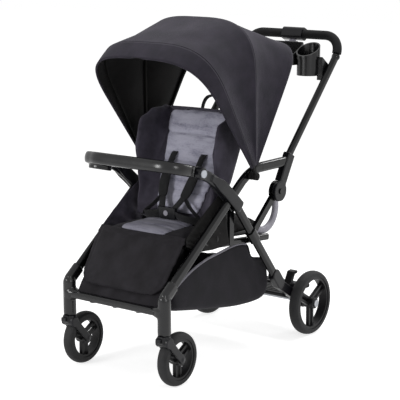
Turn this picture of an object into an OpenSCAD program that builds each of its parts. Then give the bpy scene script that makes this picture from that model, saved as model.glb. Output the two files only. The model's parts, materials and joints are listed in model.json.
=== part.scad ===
// Tandem sit-and-stand stroller: folding tube frame, front child seat under a
// three-bow canopy, rear bench with a standing platform, parent tray and basket.
// Millimetres. +Z is up, the child faces -Y, the origin is on the floor in the middle.

/* [Wheels] */
// Diameter of the front wheels
front_wheel_d = 180; // [160:1:186]
// Width of the front tyres
front_tyre_w = 36; // [28:1:40]
// Diameter of the rear wheels
rear_wheel_d = 235; // [215:1:245]
// Width of the rear tyres
rear_tyre_w = 40; // [30:1:44]
// Radial height of the tyres
tyre_h = 21; // [14:1:26]
// Height of the tyres' crown
tyre_crown = 11; // [6:1:14]
// Thickness of the rims' ring
rim_h = 9; // [6:1:12]
// Radius of the wheel hubs
wheel_hub_r = 20; // [17:1:24]
// Length of the rear wheel hubs
rear_hub_len = 45; // [44:1:52]
// Width of one spoke
spoke_w = 9; // [6:1:11]
// Depth of one spoke along the axle
spoke_t = 13; // [8:1:18]
// Distance between the two spokes of a pair
spoke_gap = 22; // [18:1:26]
// Number of spoke pairs in a wheel
spoke_pairs = 3; // [3:1:5]
// Radius of the front axles
front_axle_r = 5; // [4:0.5:6]
// Radius of the rear axle
rear_axle_r = 6; // [5:0.5:8]
// Distance of the front axle behind its swivel stem
caster_trail = 66; // [60:1:72]

/* [Frame] */
// Distance from the middle to each frame tube
frame_half_w = 204; // [198:1:216]
// Depth of the frame tubes seen from the side
tube_w = 36; // [30:1:40]
// Thickness of the frame tubes across the stroller
tube_t = 20; // [18:1:22]
// Wall of the tubes
tube_wall = 2; // [1.5:0.25:3]
// Distance of the swivel stems in front of the middle
stem_y = -512; // [-520:1:-505]
// Height of the underside of the front castings
casting_z = 186; // [184:1:190]
// Height of the front castings' stem housing
casting_h = 112; // [105:1:118]
// Radius of the stem housing
casting_r = 22; // [20:1:24]
// Radius of the swivel stem
stem_r = 8; // [6:0.5:10]
// Distance of the front leg collars behind the swivel stems
collar_back = 48; // [44:1:54]
// Height of the front leg collar
collar_z = 341; // [336:1:346]
// Length of the leg that is held in the front casting
collar_grip = 56; // [45:1:60]
// Place along the stroller of the frame hub
hub_y = -148; // [-156:1:-140]
// Height of the frame hub
hub_z = 580; // [572:1:588]
// Height of the level part of the upper arms
arm_z = 658; // [650:1:666]
// Bend radius of the upper arms
arm_bend_r = 200; // [150:5:230]
// Distance of the rear leg pivot below the front tube
rear_pivot_drop = 43; // [41:1:48]
// Radius of the rear leg pivot pins
pivot_pin_r = 5; // [4:0.5:7]
// Depth of the rear leg tubes seen from the side
rear_tube_w = 32; // [28:1:34]
// Place along the stroller of the rear leg's lower end
rear_foot_y = 140; // [130:1:150]
// Height of the rear leg's lower end
rear_foot_z = 222; // [215:1:230]
// Place along the stroller of the rear axle
rear_axle_y = 308; // [300:1:316]
// Distance along the rear leg to the link's saddle
saddle_s = 155; // [140:1:175]
// Thickness of the hub's side plates
hub_plate_t = 7; // [5:0.5:9]

/* [Handle] */
// Place along the stroller of the fold joint
fold_y = 126; // [118:1:134]
// Height of the fold joint
fold_z = 558; // [550:1:566]
// Radius of the fold joint's discs
fold_disc_r = 36; // [28:1:38]
// Thickness of each fold disc
fold_disc_t = 14; // [11:0.5:16]
// Length of the handle sleeve above the fold joint
sleeve_len = 142; // [135:1:150]
// Slope of the handle sleeve
sleeve_ang = 60; // [57:1:64]
// Slope of the push tubes
push_ang = 47; // [45:1:49]
// Length of the push tubes
push_len = 436; // [420:2:450]
// Depth of the push tubes seen from the side
push_w = 30; // [26:1:34]
// Height of the handle arch along its own slope
arch_h = 80; // [76:1:90]
// Slope of the handle arch
arch_ang = 65; // [58:1:72]
// Corner radius of the handle arch
arch_r = 66; // [50:2:72]
// Radius of the handle's steel core
arch_core_r = 11; // [9:0.5:12]
// Radius of the foam grip
grip_r = 17; // [15:0.5:19]
// Width of the handle's middle block
block_w = 88; // [80:2:110]
// Distance that the fold trigger travels
trigger_travel = 8; // [4:0.5:9]

/* [Parent tray] */
// Distance of the parent tray along the push tubes
parent_tray_s = 366; // [350:2:380]
// Inner radius of the parent cups
parent_cup_r = 38; // [34:0.5:40]
// Depth of the parent cups at their front
parent_cup_depth = 66; // [50:1:74]
// Distance of the parent cups from the middle
parent_cup_x = 132; // [124:1:138]
// Slope of the parent tray's rim, rising to its rear
hood_tilt = 27; // [15:1:32]
// Wall of both trays
tray_wall = 3; // [2:0.5:4]

/* [Child tray] */
// Place along the stroller of the tray pivots
tray_pivot_y = -320; // [-328:1:-312]
// Height of the tray pivots
tray_pivot_z = 684; // [676:1:692]
// Length of the child tray in front of its pivots
tray_reach = 134; // [125:1:145]
// Height of the child tray's body
tray_h = 38; // [34:1:42]
// Slope of the child tray, rising to its front
tray_tilt = 14; // [8:1:18]
// Inner radius of the child cup
child_cup_r = 36; // [33:0.5:38]
// Depth of the child cup
child_cup_depth = 52; // [40:1:60]
// Distance of the child cup from the middle
child_cup_x = 168; // [150:1:172]
// Radius of the tray release buttons
tray_button_r = 13; // [10:0.5:14]
// Distance that a tray release button travels
tray_button_travel = 4; // [2:0.5:5]

/* [Seat] */
// Place along the stroller of the recline hinge
recline_y = -192; // [-200:1:-186]
// Height of the recline hinge
recline_z = 450; // [446:1:456]
// Lean of the backrest from upright
back_lean = 26; // [20:1:30]
// Length of the backrest
back_len = 425; // [400:5:440]
// Half the width of the backrest
back_half_w = 158; // [145:1:162]
// Thickness of the backrest pad at its edge
back_pad_t = 22; // [14:1:28]
// Thickness of the seat cushion at its edge
seat_pad_t = 26; // [18:1:32]
// Depth of the seat from front to back
seat_depth = 162; // [150:1:172]
// Thickness of the boards in the seat
board_t = 8; // [6:0.5:10]
// How far cushions rise in their middle
pad_crown = 12; // [6:1:16]
// Reach of the side wings in front of the backrest
wing_reach = 150; // [120:1:160]
// Thickness of the side wings
wing_t = 12; // [8:1:15]
// Height of the seat rails at their front end
rail_z = 432; // [428:1:436]
// Fall of the seat rails from front to back
rail_fall = 5; // [3:0.5:6]
// Depth of the seat rails
rail_w = 24; // [20:1:28]
// Length of the rear bench
bench_len = 200; // [180:2:210]
// Thickness of the bench pad at its edge
bench_pad_t = 24; // [18:1:28]
// Half the width of the bench
bench_half_w = 150; // [140:1:156]
// Height of the bench's side arms
bench_arm_h = 100; // [80:2:112]

/* [Canopy] */
// Radius of the canopy at its crown
canopy_r = 512; // [480:2:530]
// Distance from the frame tubes out to the canopy's lining
canopy_clear = 12; // [10:1:20]
// Radius at which the canopy's sides start to turn in
canopy_shoulder_r = 290; // [240:5:340]
// Direction of the rear bow
bow_rear_ang = 57; // [54:1:60]
// Direction of the middle bow
bow_mid_ang = 91; // [88:1:94]
// Direction of the front bow
bow_front_ang = 121; // [118:1:126]
// Reach of the visor in front of the front bow
visor_ang = 8; // [4:0.5:10]
// Radius of the canopy bows
bow_r = 4; // [3:0.25:4.5]
// Thickness of the canopy cloth
cloth_t = 3; // [2:0.5:3.5]

/* [Basket] */
// Half the width of the basket
basket_half_w = 176; // [165:1:178]
// Distance of the basket's front end behind the swivel stems
basket_front_gap = 76; // [66:1:86]
// Rear end of the basket
basket_rear_y = 120; // [108:1:126]
// Height of the basket's floor at its rear
basket_floor_z = 164; // [158:1:176]
// Rise of the basket's floor towards its front
basket_rise = 68; // [50:1:76]
// Thickness of the basket's walls
basket_wall = 4; // [3:0.5:6]

/* [Platform] */
// Length of the standing platform
platform_len = 180; // [150:2:190]
// Height of the standing platform's top
platform_z = 168; // [162:1:176]
// Thickness of the standing platform
platform_t = 14; // [10:1:20]
// Radius of the brake rod
brake_rod_r = 5; // [4:0.5:6]

/* [Fits] */
// Radial clearance of pins and axles in their bores
run_fit = 0.05; // [0.02:0.01:0.1]
// Gap between faces that move past each other
gap = 0.4; // [0.3:0.05:0.8]
// Gap between a soft piece and what it lies on
soft_gap = 0.3; // [0.2:0.05:0.5]

/* [Hidden] */
$fn = 48;

gloss_black = "#18181a";
satin_black = "#2b2b2e";
trim_grey = "#8f8d96";
cloth_black = "#34323a";
cloth_grey = "#8b8a94";
tyre_grey = "#3a3a3c";

// Points in the side view are [y, z] pairs, and angles turn from +Y towards +Z.
function along(a) = [cos(a), sin(a)];
function across(a) = [-sin(a), cos(a)];
function slope(p, q) = atan2(q[1] - p[1], q[0] - p[0]);
function arc(c, r, a0, a1, n) = [for (i = [0:n]) c + r * along(a0 + (a1 - a0) * i / n)];

xm = frame_half_w;
tube_in = xm - tube_t / 2;
tube_out = xm + tube_t / 2;
collar = [stem_y + collar_back, collar_z];
hub = [hub_y, hub_z];
leg_ang = slope(collar, hub);
leg_foot = collar - collar_grip * along(leg_ang);
rear_pivot = hub - rear_pivot_drop * across(leg_ang);
rear_foot = [rear_foot_y, rear_foot_z];
rear_ang = slope(rear_pivot, rear_foot);
rear_axle = [rear_axle_y, rear_wheel_d / 2];
front_axle = [stem_y + caster_trail, front_wheel_d / 2];
fold = [fold_y, fold_z];
saddle = rear_pivot + saddle_s * along(rear_ang);

// Upper arm: along the leg's line, round one bend, then level to the handle sleeve.
arm_corner = hub + (arm_z - hub_z) / sin(leg_ang) * along(leg_ang);
arm_tangent = arm_bend_r * tan(leg_ang / 2);
bend_start = arm_corner - arm_tangent * along(leg_ang);
bend_end = arm_corner + [arm_tangent, 0];
bend_centre = bend_end - [0, arm_bend_r];
canopy_share = 0.65;
canopy_pivot = bend_centre + arm_bend_r * along(90 + canopy_share * leg_ang);
canopy_pin_r = 6;
canopy_pin_proud = 2;
canopy_ring_r = 13;
canopy_half_w = tube_out + canopy_clear;
cloth_room = 2;
layer = cloth_t + cloth_room;
rear_bow_off = -bow_r - soft_gap;
front_panel_off = layer;
mid_bow_off = layer + bow_r;
front_bow_off = mid_bow_off + 2 * bow_r + gap;
visor_off = front_bow_off - bow_r - cloth_t - soft_gap;
canopy_pin_end = canopy_half_w + mid_bow_off;
canopy_stub_end = canopy_half_w + front_bow_off + bow_r + canopy_pin_proud;
canopy_stub_flange = 2;

sleeve_wall = 5;
sleeve_cheek = 3;
sleeve_w = push_w + 2 * sleeve_wall;
sleeve_t = tube_t + 2 * sleeve_cheek;
sleeve_top = fold + sleeve_len * along(sleeve_ang);
fold_pin_r = 6;
fold_cap_t = 4;
knee = sleeve_top + push_len * along(push_ang);
knee_bulge = 0.5;
knee_r = push_w / 2 + knee_bulge;
arch_leg = arch_h - arch_r;
block_d = 46;
trigger_w = 62;
trigger_d = 12;
trigger_stem_w = 22;
trigger_rest = trigger_travel + gap;

foot_step = 2;
foot_out = xm + foot_step;
foot_t = 22;
foot_in = foot_out - foot_t;
rear_x = foot_out + gap + rear_hub_len / 2;
axle_cap_t = 6;
brake_share = 0.56;
brake_rise = 28;
brake_root = rear_foot + brake_share * (rear_axle - rear_foot);
brake_pivot = brake_root + brake_rise * across(slope(rear_foot, rear_axle));
pedal_w = 28;

rail_t = 16;
rail_clear = 10;
rail_x = tube_in - rail_clear - rail_t / 2;
pan_back_gap = 12;
pan_overhang = 42;
pan_back = recline_y - pan_back_gap;
pan_front = pan_back - seat_depth;
rail_front = [pan_front + pan_overhang, rail_z];
rail_ang = -rail_fall;
function rail_at(y) = rail_front[1] + (y - rail_front[0]) * tan(rail_ang);
function rail_top(y) = rail_at(y) + rail_w / 2 / cos(rail_ang);
function rail_under(y) = rail_at(y) - rail_w / 2 / cos(rail_ang);
pan_top = rail_z + rail_w / 2 + board_t;
bench_back_gap = 92;
bench_y0 = recline_y + bench_back_gap;
bench_y1 = bench_y0 + bench_len;
bench_top = rail_top(bench_y0) + board_t;
rail_tail = 4;
rail_end_y = bench_y1 + rail_tail;
cross_r = 7;
recline_pin_r = 5;
recline_pin = [recline_y, recline_z] + board_t / 2 * along(-back_lean);

// Extra length of a cutting solid past the face that it opens
cut = 1;

// A flat outline in the side view, [y, z], made t thick across the stroller from x0.
module slab(x0, t) {
    translate([x0, 0, 0])
        rotate([90, 0, 90])
            linear_extrude(t)
                children();
}

// A round rod across the stroller at the side-view point p.
module cross_rod(p, r, x0, x1) {
    slab(x0, x1 - x0)
        translate(p)
            circle(r);
}

// A round-ended bar outline from p to q, drawn in a little between its ends.
waist = 0.1;

module bar(p, q, w) {
    translate(p)
        circle(d = w);
    translate(q)
        circle(d = w);
    translate(p)
        rotate(slope(p, q))
            translate([0, waist - w / 2])
                square([norm(q - p), w - 2 * waist]);
}

// The cross-section of an oval tube, w deep and t thick.
module oval(w, t) {
    square([t, w - t], center = true);
    for (s = [-1, 1])
        translate([0, s * (w - t) / 2])
            circle(d = t);
}

module oval_ring(w, t) {
    difference() {
        oval(w, t);
        oval(w - 2 * tube_wall, t - 2 * tube_wall);
    }
}

// Sweeps a section from the side-view point p to q in the plane of the frame tubes.
module run(p, q, x = xm) {
    translate([x, p[0], p[1]])
        rotate([slope(p, q) - 90, 0, 0])
            linear_extrude(norm(q - p))
                children();
}

// Sweeps a section round the side-view point c.
module bend(c, r, a0, a1) {
    translate([xm, c[0], c[1]])
        rotate([90, 0, 90])
            rotate([0, 0, a0])
                rotate_extrude(angle = a1 - a0)
                    translate([r, 0])
                        rotate(90)
                            children();
}

// Draws its children on the right, or as their mirror image on the left.
module on_side(side) {
    if (side > 0)
        children();
    else
        mirror([1, 0, 0])
            children();
}

// A solid with rounded upright edges, standing on z0.
module round_plate(size, r, z0, h) {
    translate([0, 0, z0])
        linear_extrude(h)
            rounded(size, r);
}

module rounded(size, r) {
    square([size[0] - 2 * r, size[1]], center = true);
    square([size[0], size[1] - 2 * r], center = true);
    for (sx = [-1, 1], sy = [-1, 1])
        translate([sx * (size[0] / 2 - r), sy * (size[1] / 2 - r)])
            circle(r);
}

// A stuffed pad lying on z = 0: crowned on top, with sides that draw in between its corners
// and a sewn channel at each place of the list.
pad_steps = 16;
channel_depth = 5;
channel_w = 0.09;
draw_in = 6;
function crown_at(u, v) = (1 - pow(abs(u), 4)) * (1 - pow(abs(v), 4));
function channel_at(v, channels) = len(channels) == 0 ? 0 :
    max([for (c = channels) max(0, 1 - abs(v - c) / channel_w)]);
function pad_point(u, v, w, l, t, channels, top) = [
    u * (w / 2 - draw_in * (1 - v * v)),
    v * (l / 2 - draw_in * (1 - u * u)),
    top ? t + (pad_crown - channel_depth * channel_at(v, channels)) * crown_at(u, v) : 0
];

module pad(w, l, t, channels = []) {
    n = pad_steps;
    grid = [for (i = [0:n]) -1 + 2 * i / n];
    count = (n + 1) * (n + 1);
    points = [for (top = [true, false], v = grid, u = grid) pad_point(u, v, w, l, t, channels, top)];
    edge = concat([for (i = [0:n - 1]) i], [for (j = [0:n - 1]) n + j * (n + 1)],
        [for (i = [0:n - 1]) count - 1 - i], [for (j = [0:n - 1]) (n - j) * (n + 1)]);
    tops = [for (j = [0:n - 1], i = [0:n - 1], half = [0, 1]) let (a = j * (n + 1) + i)
        half == 0 ? [a, a + n + 2, a + 1] : [a, a + n + 1, a + n + 2]];
    bottoms = [for (f = tops) [f[0] + count, f[2] + count, f[1] + count]];
    m = len(edge);
    sides = [for (k = [0:m - 1], half = [0, 1]) let (a = edge[k], b = edge[(k + 1) % m])
        half == 0 ? [a, b, b + count] : [a, b + count, a + count]];
    polyhedron(points, concat(tops, bottoms, sides));
}

// Front legs and upper arms

module front_leg(side) {
    color(gloss_black)
        on_side(side)
            run(leg_foot, hub)
                oval_ring(tube_w, tube_t);
}

// Everything behind the plane that the handle sleeve's front face lies in.
module behind_sleeve() {
    reach = 600;
    slab(0, 2 * xm)
        translate(fold)
            rotate(sleeve_ang)
                translate([-reach / 2, sleeve_w / 2 + gap - reach])
                    square(reach);
}

// The arm's path, as a sweep of the section w deep and t thick from the side-view point p to q.
// Its straight runs are swaged a little over the ends of the bend.
swage = 0.3;
swage_len = 2;

module arm_path(w, t, p, q) {
    run(p, bend_start + swage_len * along(leg_ang))
        oval(w, t);
    bend(bend_centre, arm_bend_r, 90, 90 + leg_ang)
        oval(w - 2 * swage, t - 2 * swage);
    run(bend_end - [swage_len, 0], q)
        oval(w, t);
}

module upper_arm(side) {
    plug = 30;
    arm_end = [fold_y + (arm_z + tube_w - fold_z) / tan(sleeve_ang), arm_z];
    hollow_end = [fold_y + (arm_z - tube_w - fold_z) / tan(sleeve_ang) - sleeve_w - plug, arm_z];
    color(gloss_black)
        on_side(side) {
            difference() {
                arm_path(tube_w, tube_t, hub, arm_end);
                arm_path(tube_w - 2 * tube_wall, tube_t - 2 * tube_wall, hub - along(leg_ang), hollow_end);
                behind_sleeve();
            }
            cross_rod(canopy_pivot, canopy_pin_r, tube_out - tube_wall / 2, canopy_pin_end);
        }
}

// Hubs with the tray arms

tray_arm_w = 34;
tray_end_r = 20;
tray_pivot = [tray_pivot_y, tray_pivot_z];
tray_root_rise = 27;
tray_root_shift = 6;
tray_root = hub + (tube_w / 2 + tray_root_rise) * across(leg_ang) + tray_root_shift * along(leg_ang);
tray_pin_r = 6;
tray_pin_len = 11;
button_wall = 4;
button_seat = xm + button_wall;
button_proud = 6;
button_in = button_seat + tray_button_travel + gap;

module hub_part(side) {
    plate_w = 54;
    boss_r = 16;
    color(satin_black)
        on_side(side) {
            difference() {
                union() {
                    for (x0 = [tube_out + gap, tube_in - gap - hub_plate_t])
                        slab(x0, hub_plate_t)
                            bar(rear_pivot, tray_root, plate_w);
                    cross_rod(tray_root, boss_r, tube_in - gap - hub_plate_t, tube_out + gap + hub_plate_t);
                    slab(tube_in, tube_t) {
                        bar(tray_root, tray_pivot, tray_arm_w);
                        translate(tray_pivot)
                            circle(tray_end_r);
                    }
                }
                cross_rod(tray_pivot, tray_button_r + gap, button_seat, tube_out + cut);
                cross_rod(tray_pivot, tray_pin_r + run_fit, tube_in - cut, tube_in + tray_pin_len + gap);
            }
            cross_rod(rear_pivot, pivot_pin_r, tube_in - gap - hub_plate_t, tube_out + gap + hub_plate_t);
        }
}

// Front castings and footrest

footrest_z = 260;
footrest_boss_r = 19;
footrest_tuck = 3;
footrest_end = xm - casting_r - footrest_tuck;
stem_len = 80;
stem_top = casting_z + stem_len;
casting_wall = 5;

module front_casting(side) {
    color(satin_black)
        on_side(side)
            difference() {
                union() {
                    translate([xm, stem_y, casting_z])
                        cylinder(h = casting_h, r = casting_r);
                    translate([xm, stem_y, casting_z + casting_h])
                        sphere(casting_r);
                    run(collar, leg_foot - casting_wall * along(leg_ang))
                        oval(tube_w + 2 * casting_wall, tube_t + 2 * casting_wall);
                    run(leg_foot, [stem_y, casting_z + casting_h])
                        oval(tube_w + 2 * casting_wall, tube_t + 2 * casting_wall);
                    cross_rod([stem_y, footrest_z], footrest_boss_r, footrest_end, xm);
                }
                run(leg_foot, hub)
                    oval(tube_w, tube_t);
                translate([xm, stem_y, casting_z - cut])
                    cylinder(h = stem_len + 2 * cut, r = stem_r + run_fit);
            }
}

module footrest() {
    depth = 44;
    height = 22;
    corner_r = 8;
    bumps = [-0.55, 0, 0.55];
    bump_r = 11;
    bump_drop = 6;
    grip_ribs = 5;
    rib_pitch = 8;
    rib_r = 1.5;
    rib_end = footrest_end - 18;
    color(satin_black) {
        slab(-footrest_end, 2 * footrest_end)
            translate([stem_y, footrest_z])
                rounded([depth, height], corner_r);
        for (i = [0:grip_ribs - 1])
            slab(-rib_end, 2 * rib_end)
                translate([stem_y + (i - (grip_ribs - 1) / 2) * rib_pitch, footrest_z + height / 2])
                    circle(rib_r);
        for (b = bumps)
            translate([b * footrest_end, stem_y, footrest_z - height / 2 - bump_drop])
                cylinder(h = 2 * bump_drop, r = bump_r);
    }
}

// Seat rails, pan, cushion and the cloth round the seat

strut_y = rear_pivot[0];
gusset_x = rail_x;
cloth_wall = 4;

module seat_rails() {
    rail_end = [rail_end_y, rail_at(rail_end_y)];
    ear_w = 24;
    color(gloss_black)
        difference() {
            union() {
                for (side = [-1, 1])
                    on_side(side) {
                        run(rail_front, rail_end, rail_x)
                            oval(rail_w, rail_t);
                        cross_rod(rail_front, cross_r, rail_x, tube_in);
                        slab(rail_x, tube_in - gap - hub_plate_t - rail_x)
                            bar([strut_y, rail_at(strut_y)], rear_pivot, rail_w);
                        slab(rail_x - rail_t / 2, rail_t)
                            bar([recline_pin[0], rail_at(recline_pin[0])], recline_pin, ear_w);
                    }
                for (p = [rail_front, rail_end])
                    cross_rod(p, cross_r, -rail_x, rail_x);
            }
            cross_rod(recline_pin, recline_pin_r + run_fit, -xm, xm);
        }
}

module seat_pan() {
    half_w = gusset_x - soft_gap;
    color(satin_black)
        slab(-half_w, 2 * half_w)
            polygon([[pan_front, rail_top(pan_front) + soft_gap], [pan_back, rail_top(pan_back) + soft_gap],
                [pan_back, pan_top], [pan_front, pan_top]]);
}

cushion_nose = 2;
cushion_y = (pan_front + pan_back) / 2 - cushion_nose;

module seat_cushion() {
    channels = [-0.5, 0.5];
    color(cloth_grey)
        translate([0, cushion_y, pan_top + soft_gap])
            pad(2 * back_half_w, seat_depth, seat_pad_t, channels);
}

module calf_panel() {
    casting_room = 2;
    half_w = xm - casting_r - casting_room;
    thick = 12;
    drop = 6;
    foot_rise = 30;
    foot_back = 8;
    top = [pan_front - thick / 2 - soft_gap, pan_top - drop];
    foot = [stem_y + foot_back, footrest_z + foot_rise];
    fall = slope(top, foot);
    color(cloth_black)
        slab(-half_w, 2 * half_w)
            polygon(concat(arc(top, thick / 2, fall + 90, fall + 270, 8),
                arc(foot, thick / 2, fall - 90, fall + 90, 8)));
}

module seat_gussets() {
    front_reach = 30;
    back_reach = 34;
    top_reach = 40;
    top_rise = 110;
    front_y = rail_front[0] - front_reach;
    back_y = recline_y - back_reach;
    front = [front_y, rail_top(front_y) + soft_gap];
    back = [back_y, rail_top(back_y) + soft_gap];
    top = [recline_y - top_reach, recline_z + top_rise];
    nose_len = 34;
    nose_fall = 8;
    nose = [-nose_len, -nose_fall];
    color(cloth_black)
        for (side = [-1, 1])
            on_side(side)
                slab(gusset_x, cloth_wall)
                    polygon([front, back, top, top + nose]);
}

basket_front_y = stem_y + basket_front_gap;
basket_lip_z = 305;
basket_rear_top_z = 299;
basket_rear_lean = 27;
basket_notch = [[-38, 321], [-118, 340]];
basket_hang_rear = basket_rear_y - 166;
basket_hang_len = 64;
basket_hang_front = basket_hang_rear - basket_hang_len;
basket_dip = [[-149, -18], [-231, -42]];

// Side view of the basket; its floor falls to the rear and its rim follows the seat rails.
module basket_outline(inset) {
    front_r = 30;
    rear_r = 24;
    front_c = [basket_front_y + front_r, basket_floor_z + basket_rise + front_r];
    rear_c = [basket_rear_y - rear_r, basket_floor_z + rear_r];
    floor_side = slope(front_c, rear_c) - 90;
    rear_top = [basket_rear_y - basket_rear_lean - inset, basket_rear_top_z];
    hung = [0, inset - soft_gap];
    front_top = [basket_hang_front, rail_under(basket_hang_front)];
    polygon(concat(
        arc(front_c, front_r - inset, -180, floor_side, 6),
        arc(rear_c, rear_r - inset, floor_side, slope([basket_rear_y, rear_c[1]], rear_top) - 90, 6),
        [rear_top],
        [for (p = basket_notch) [basket_rear_y + p[0], p[1] + inset]],
        [[basket_hang_rear, rail_under(basket_hang_rear)] + hung, front_top + hung],
        [for (p = basket_dip) front_top + p + hung],
        [[basket_front_y + inset, basket_lip_z + inset]]));
}

module basket() {
    color(cloth_black)
        difference() {
            slab(-basket_half_w, 2 * basket_half_w)
                basket_outline(0);
            slab(basket_wall - basket_half_w, 2 * (basket_half_w - basket_wall))
                basket_outline(basket_wall);
        }
}

// Rear bench

module bench_base() {
    y1 = bench_y1 - rail_tail;
    color(satin_black)
        slab(-bench_half_w, 2 * bench_half_w)
            polygon([
                [bench_y0, rail_top(bench_y0)], [y1, rail_top(y1)],
                [y1, bench_top], [bench_y0, bench_top]
            ]);
}

module bench_pad() {
    color(cloth_black)
        translate([0, (bench_y0 + bench_y1) / 2, bench_top + soft_gap])
            pad(2 * bench_half_w, bench_len, bench_pad_t);
}

// Each arm clips between the bench and its rail, and curves up to a small round tip.
module bench_arms() {
    x0 = bench_half_w + soft_gap;
    arm_t = rail_x - rail_t / 2 - soft_gap - x0;
    arm_w = 22;
    tip_r = 13;
    clip_w = 22;
    clip_len = 16;
    a0 = -128;
    a1 = 29;
    bow_r0 = 0.74 * bench_arm_h;
    rod_room = 4;
    centre = [bench_y1 + rod_room, rail_at(rail_end_y) + cross_r + arm_w / 2 + bow_r0 + rod_room];
    root = centre + bow_r0 * along(a0);
    clip = [root[0] - clip_len, rail_at(root[0] - clip_len)];
    color(trim_grey)
        for (side = [-1, 1])
            on_side(side)
                slab(x0, arm_t) {
                    bar(clip, root, clip_w);
                    polygon(concat(arc(centre, bow_r0 + arm_w / 2, a0, a1, 14),
                        arc(centre, bow_r0 - arm_w / 2, a1, a0, 14)));
                    translate(centre + bow_r0 * along(a1))
                        circle(tip_r);
                }
}

// Seat harness parts on the pan

buckle_gap = 46;
buckle_y = recline_y - buckle_gap;
strap_v = (buckle_y - cushion_y) / (seat_depth / 2 - draw_in);
strap_foot = pan_top + seat_pad_t + pad_crown * crown_at(0, strap_v) + 2 * soft_gap;
crotch_len = 8;
buckle_z = strap_foot + crotch_len;
buckle_w = 76;
buckle_d = 18;
buckle_h = 38;
buckle_corner = 7;
buckle_button_r = 9;
button_travel = 3;
web_t = 3;
web_w = 25;

module crotch_strap() {
    color(cloth_black)
        translate([-web_w / 2, buckle_y - web_t / 2, strap_foot])
            cube([web_w, web_t, crotch_len]);
}

module buckle() {
    color(satin_black)
        difference() {
            translate([0, buckle_y, 0])
                round_plate([buckle_w, buckle_d], buckle_corner, buckle_z, buckle_h);
            translate([0, buckle_y, buckle_z + buckle_h / 2])
                rotate([90, 0, 0])
                    cylinder(h = buckle_d, r = buckle_button_r + gap);
        }
}

module buckle_button() {
    proud = 2;
    color(trim_grey)
        translate([0, buckle_y - button_travel - gap, buckle_z + buckle_h / 2])
            rotate([90, 0, 0])
                cylinder(h = buckle_d / 2 - button_travel + proud, r = buckle_button_r);
}

// Canopy: every piece is turned about the canopy pivots, so that the cloth nests as it folds.

// Half of the cross-section, from the side near the pivot up and over to the other side: [radius, x].
canopy_side_r = canopy_ring_r + 62;
canopy_square = 3.4;
canopy_steps = 28;
function power(v) = sign(v) * pow(abs(v), 2 / canopy_square);
function canopy_curve(off, foot_r = canopy_side_r) = concat([[foot_r, -canopy_half_w - off]],
    [for (i = [0:canopy_steps]) let (t = 180 - 180 * i / canopy_steps)
        [canopy_shoulder_r + (canopy_r + off - canopy_shoulder_r) * power(sin(t)),
            (canopy_half_w + off) * power(cos(t))]],
    [[foot_r, canopy_half_w + off]]);
function flip(list) = [for (i = [len(list) - 1:-1:0]) list[i]];

module canopy_turn(a0, a1) {
    translate([0, canopy_pivot[0], canopy_pivot[1]])
        rotate([90, 0, 90])
            rotate([0, 0, a0])
                rotate_extrude(angle = a1 - a0, $fn = 96)
                    children();
}

module canopy_shell(a0, a1, off, thick) {
    canopy_turn(a0, a1)
        polygon(concat(canopy_curve(off), flip(canopy_curve(off + thick))));
}

// A bow: a flat rod along the canopy's curve, with a thinner ring round each pivot, grown by extra.
ring_inset = 0.25;

module canopy_bow(ang, off, extra = 0) {
    half = bow_r + extra;
    foot = canopy_half_w + off;
    foot_r = canopy_ring_r - cut;
    ring_half = half - ring_inset;
    translate([0, canopy_pivot[0], canopy_pivot[1]])
        rotate([90, 0, 90])
            rotate([0, 0, ang])
                rotate([90, 0, 0])
                    linear_extrude(2 * half, center = true)
                        polygon(concat(
                            canopy_curve(off - half, foot_r), flip(canopy_curve(off + half, foot_r))
                        ));
    for (side = [-1, 1])
        on_side(side)
            slab(foot - ring_half, 2 * ring_half)
                translate(canopy_pivot)
                    difference() {
                        circle(canopy_ring_r);
                        circle(canopy_pin_r + run_fit);
                    }
}

module canopy_rear_bow() {
    color(gloss_black)
        canopy_bow(bow_rear_ang, rear_bow_off);
}

module canopy_rear_panel() {
    color(cloth_black)
        canopy_shell(bow_rear_ang, bow_mid_ang, 0, cloth_t);
}

// The middle bow turns on the arm's pin, and carries a stub outside it for the front bow.
module canopy_middle_bow() {
    ring_out = canopy_half_w + mid_bow_off + bow_r - 2 * ring_inset;
    color(gloss_black) {
        canopy_bow(bow_mid_ang, mid_bow_off);
        for (side = [-1, 1])
            on_side(side) {
                cross_rod(canopy_pivot, canopy_pin_r + canopy_stub_flange, canopy_pin_end + gap, ring_out);
                cross_rod(canopy_pivot, canopy_pin_r, canopy_pin_end + gap, canopy_stub_end);
            }
    }
}

module canopy_front_panel() {
    color(cloth_black)
        difference() {
            canopy_shell(bow_mid_ang, bow_front_ang, front_panel_off, cloth_t);
            canopy_bow(bow_mid_ang, mid_bow_off, soft_gap);
        }
}

module canopy_front_bow() {
    color(gloss_black)
        canopy_bow(bow_front_ang, front_bow_off);
}

module canopy_visor() {
    tuck = 1;
    color(cloth_black)
        canopy_shell(bow_front_ang - tuck, bow_front_ang + visor_ang, visor_off, cloth_t);
}

// Backrest, in its own lean: local Z runs up the board and local -Y faces the child.

module on_back() {
    translate([0, recline_y, recline_z])
        rotate([-back_lean, 0, 0])
            children();
}

module backrest_board() {
    hinge_w = board_t + 6;
    pin_end = rail_x + rail_t / 2 - cut;
    color(satin_black) {
        on_back() {
            translate([-back_half_w, 0, hinge_w / 2])
                cube([2 * back_half_w, board_t, back_len - hinge_w / 2]);
            slab(-back_half_w, 2 * back_half_w)
                translate([board_t / 2, 0])
                    bar([0, 0], [0, hinge_w], hinge_w);
        }
        cross_rod(recline_pin, recline_pin_r, -pin_end, pin_end);
    }
}

module backrest_pad() {
    foot = seat_pad_t + pad_crown + 8;
    edge = 4;
    length = back_len - foot - edge;
    channels = [-0.5, 0, 0.5];
    color(cloth_grey)
        on_back()
            translate([0, -soft_gap, foot + length / 2])
                rotate([90, 0, 0])
                    pad(2 * back_half_w - edge, length, back_pad_t, channels);
}

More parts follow.
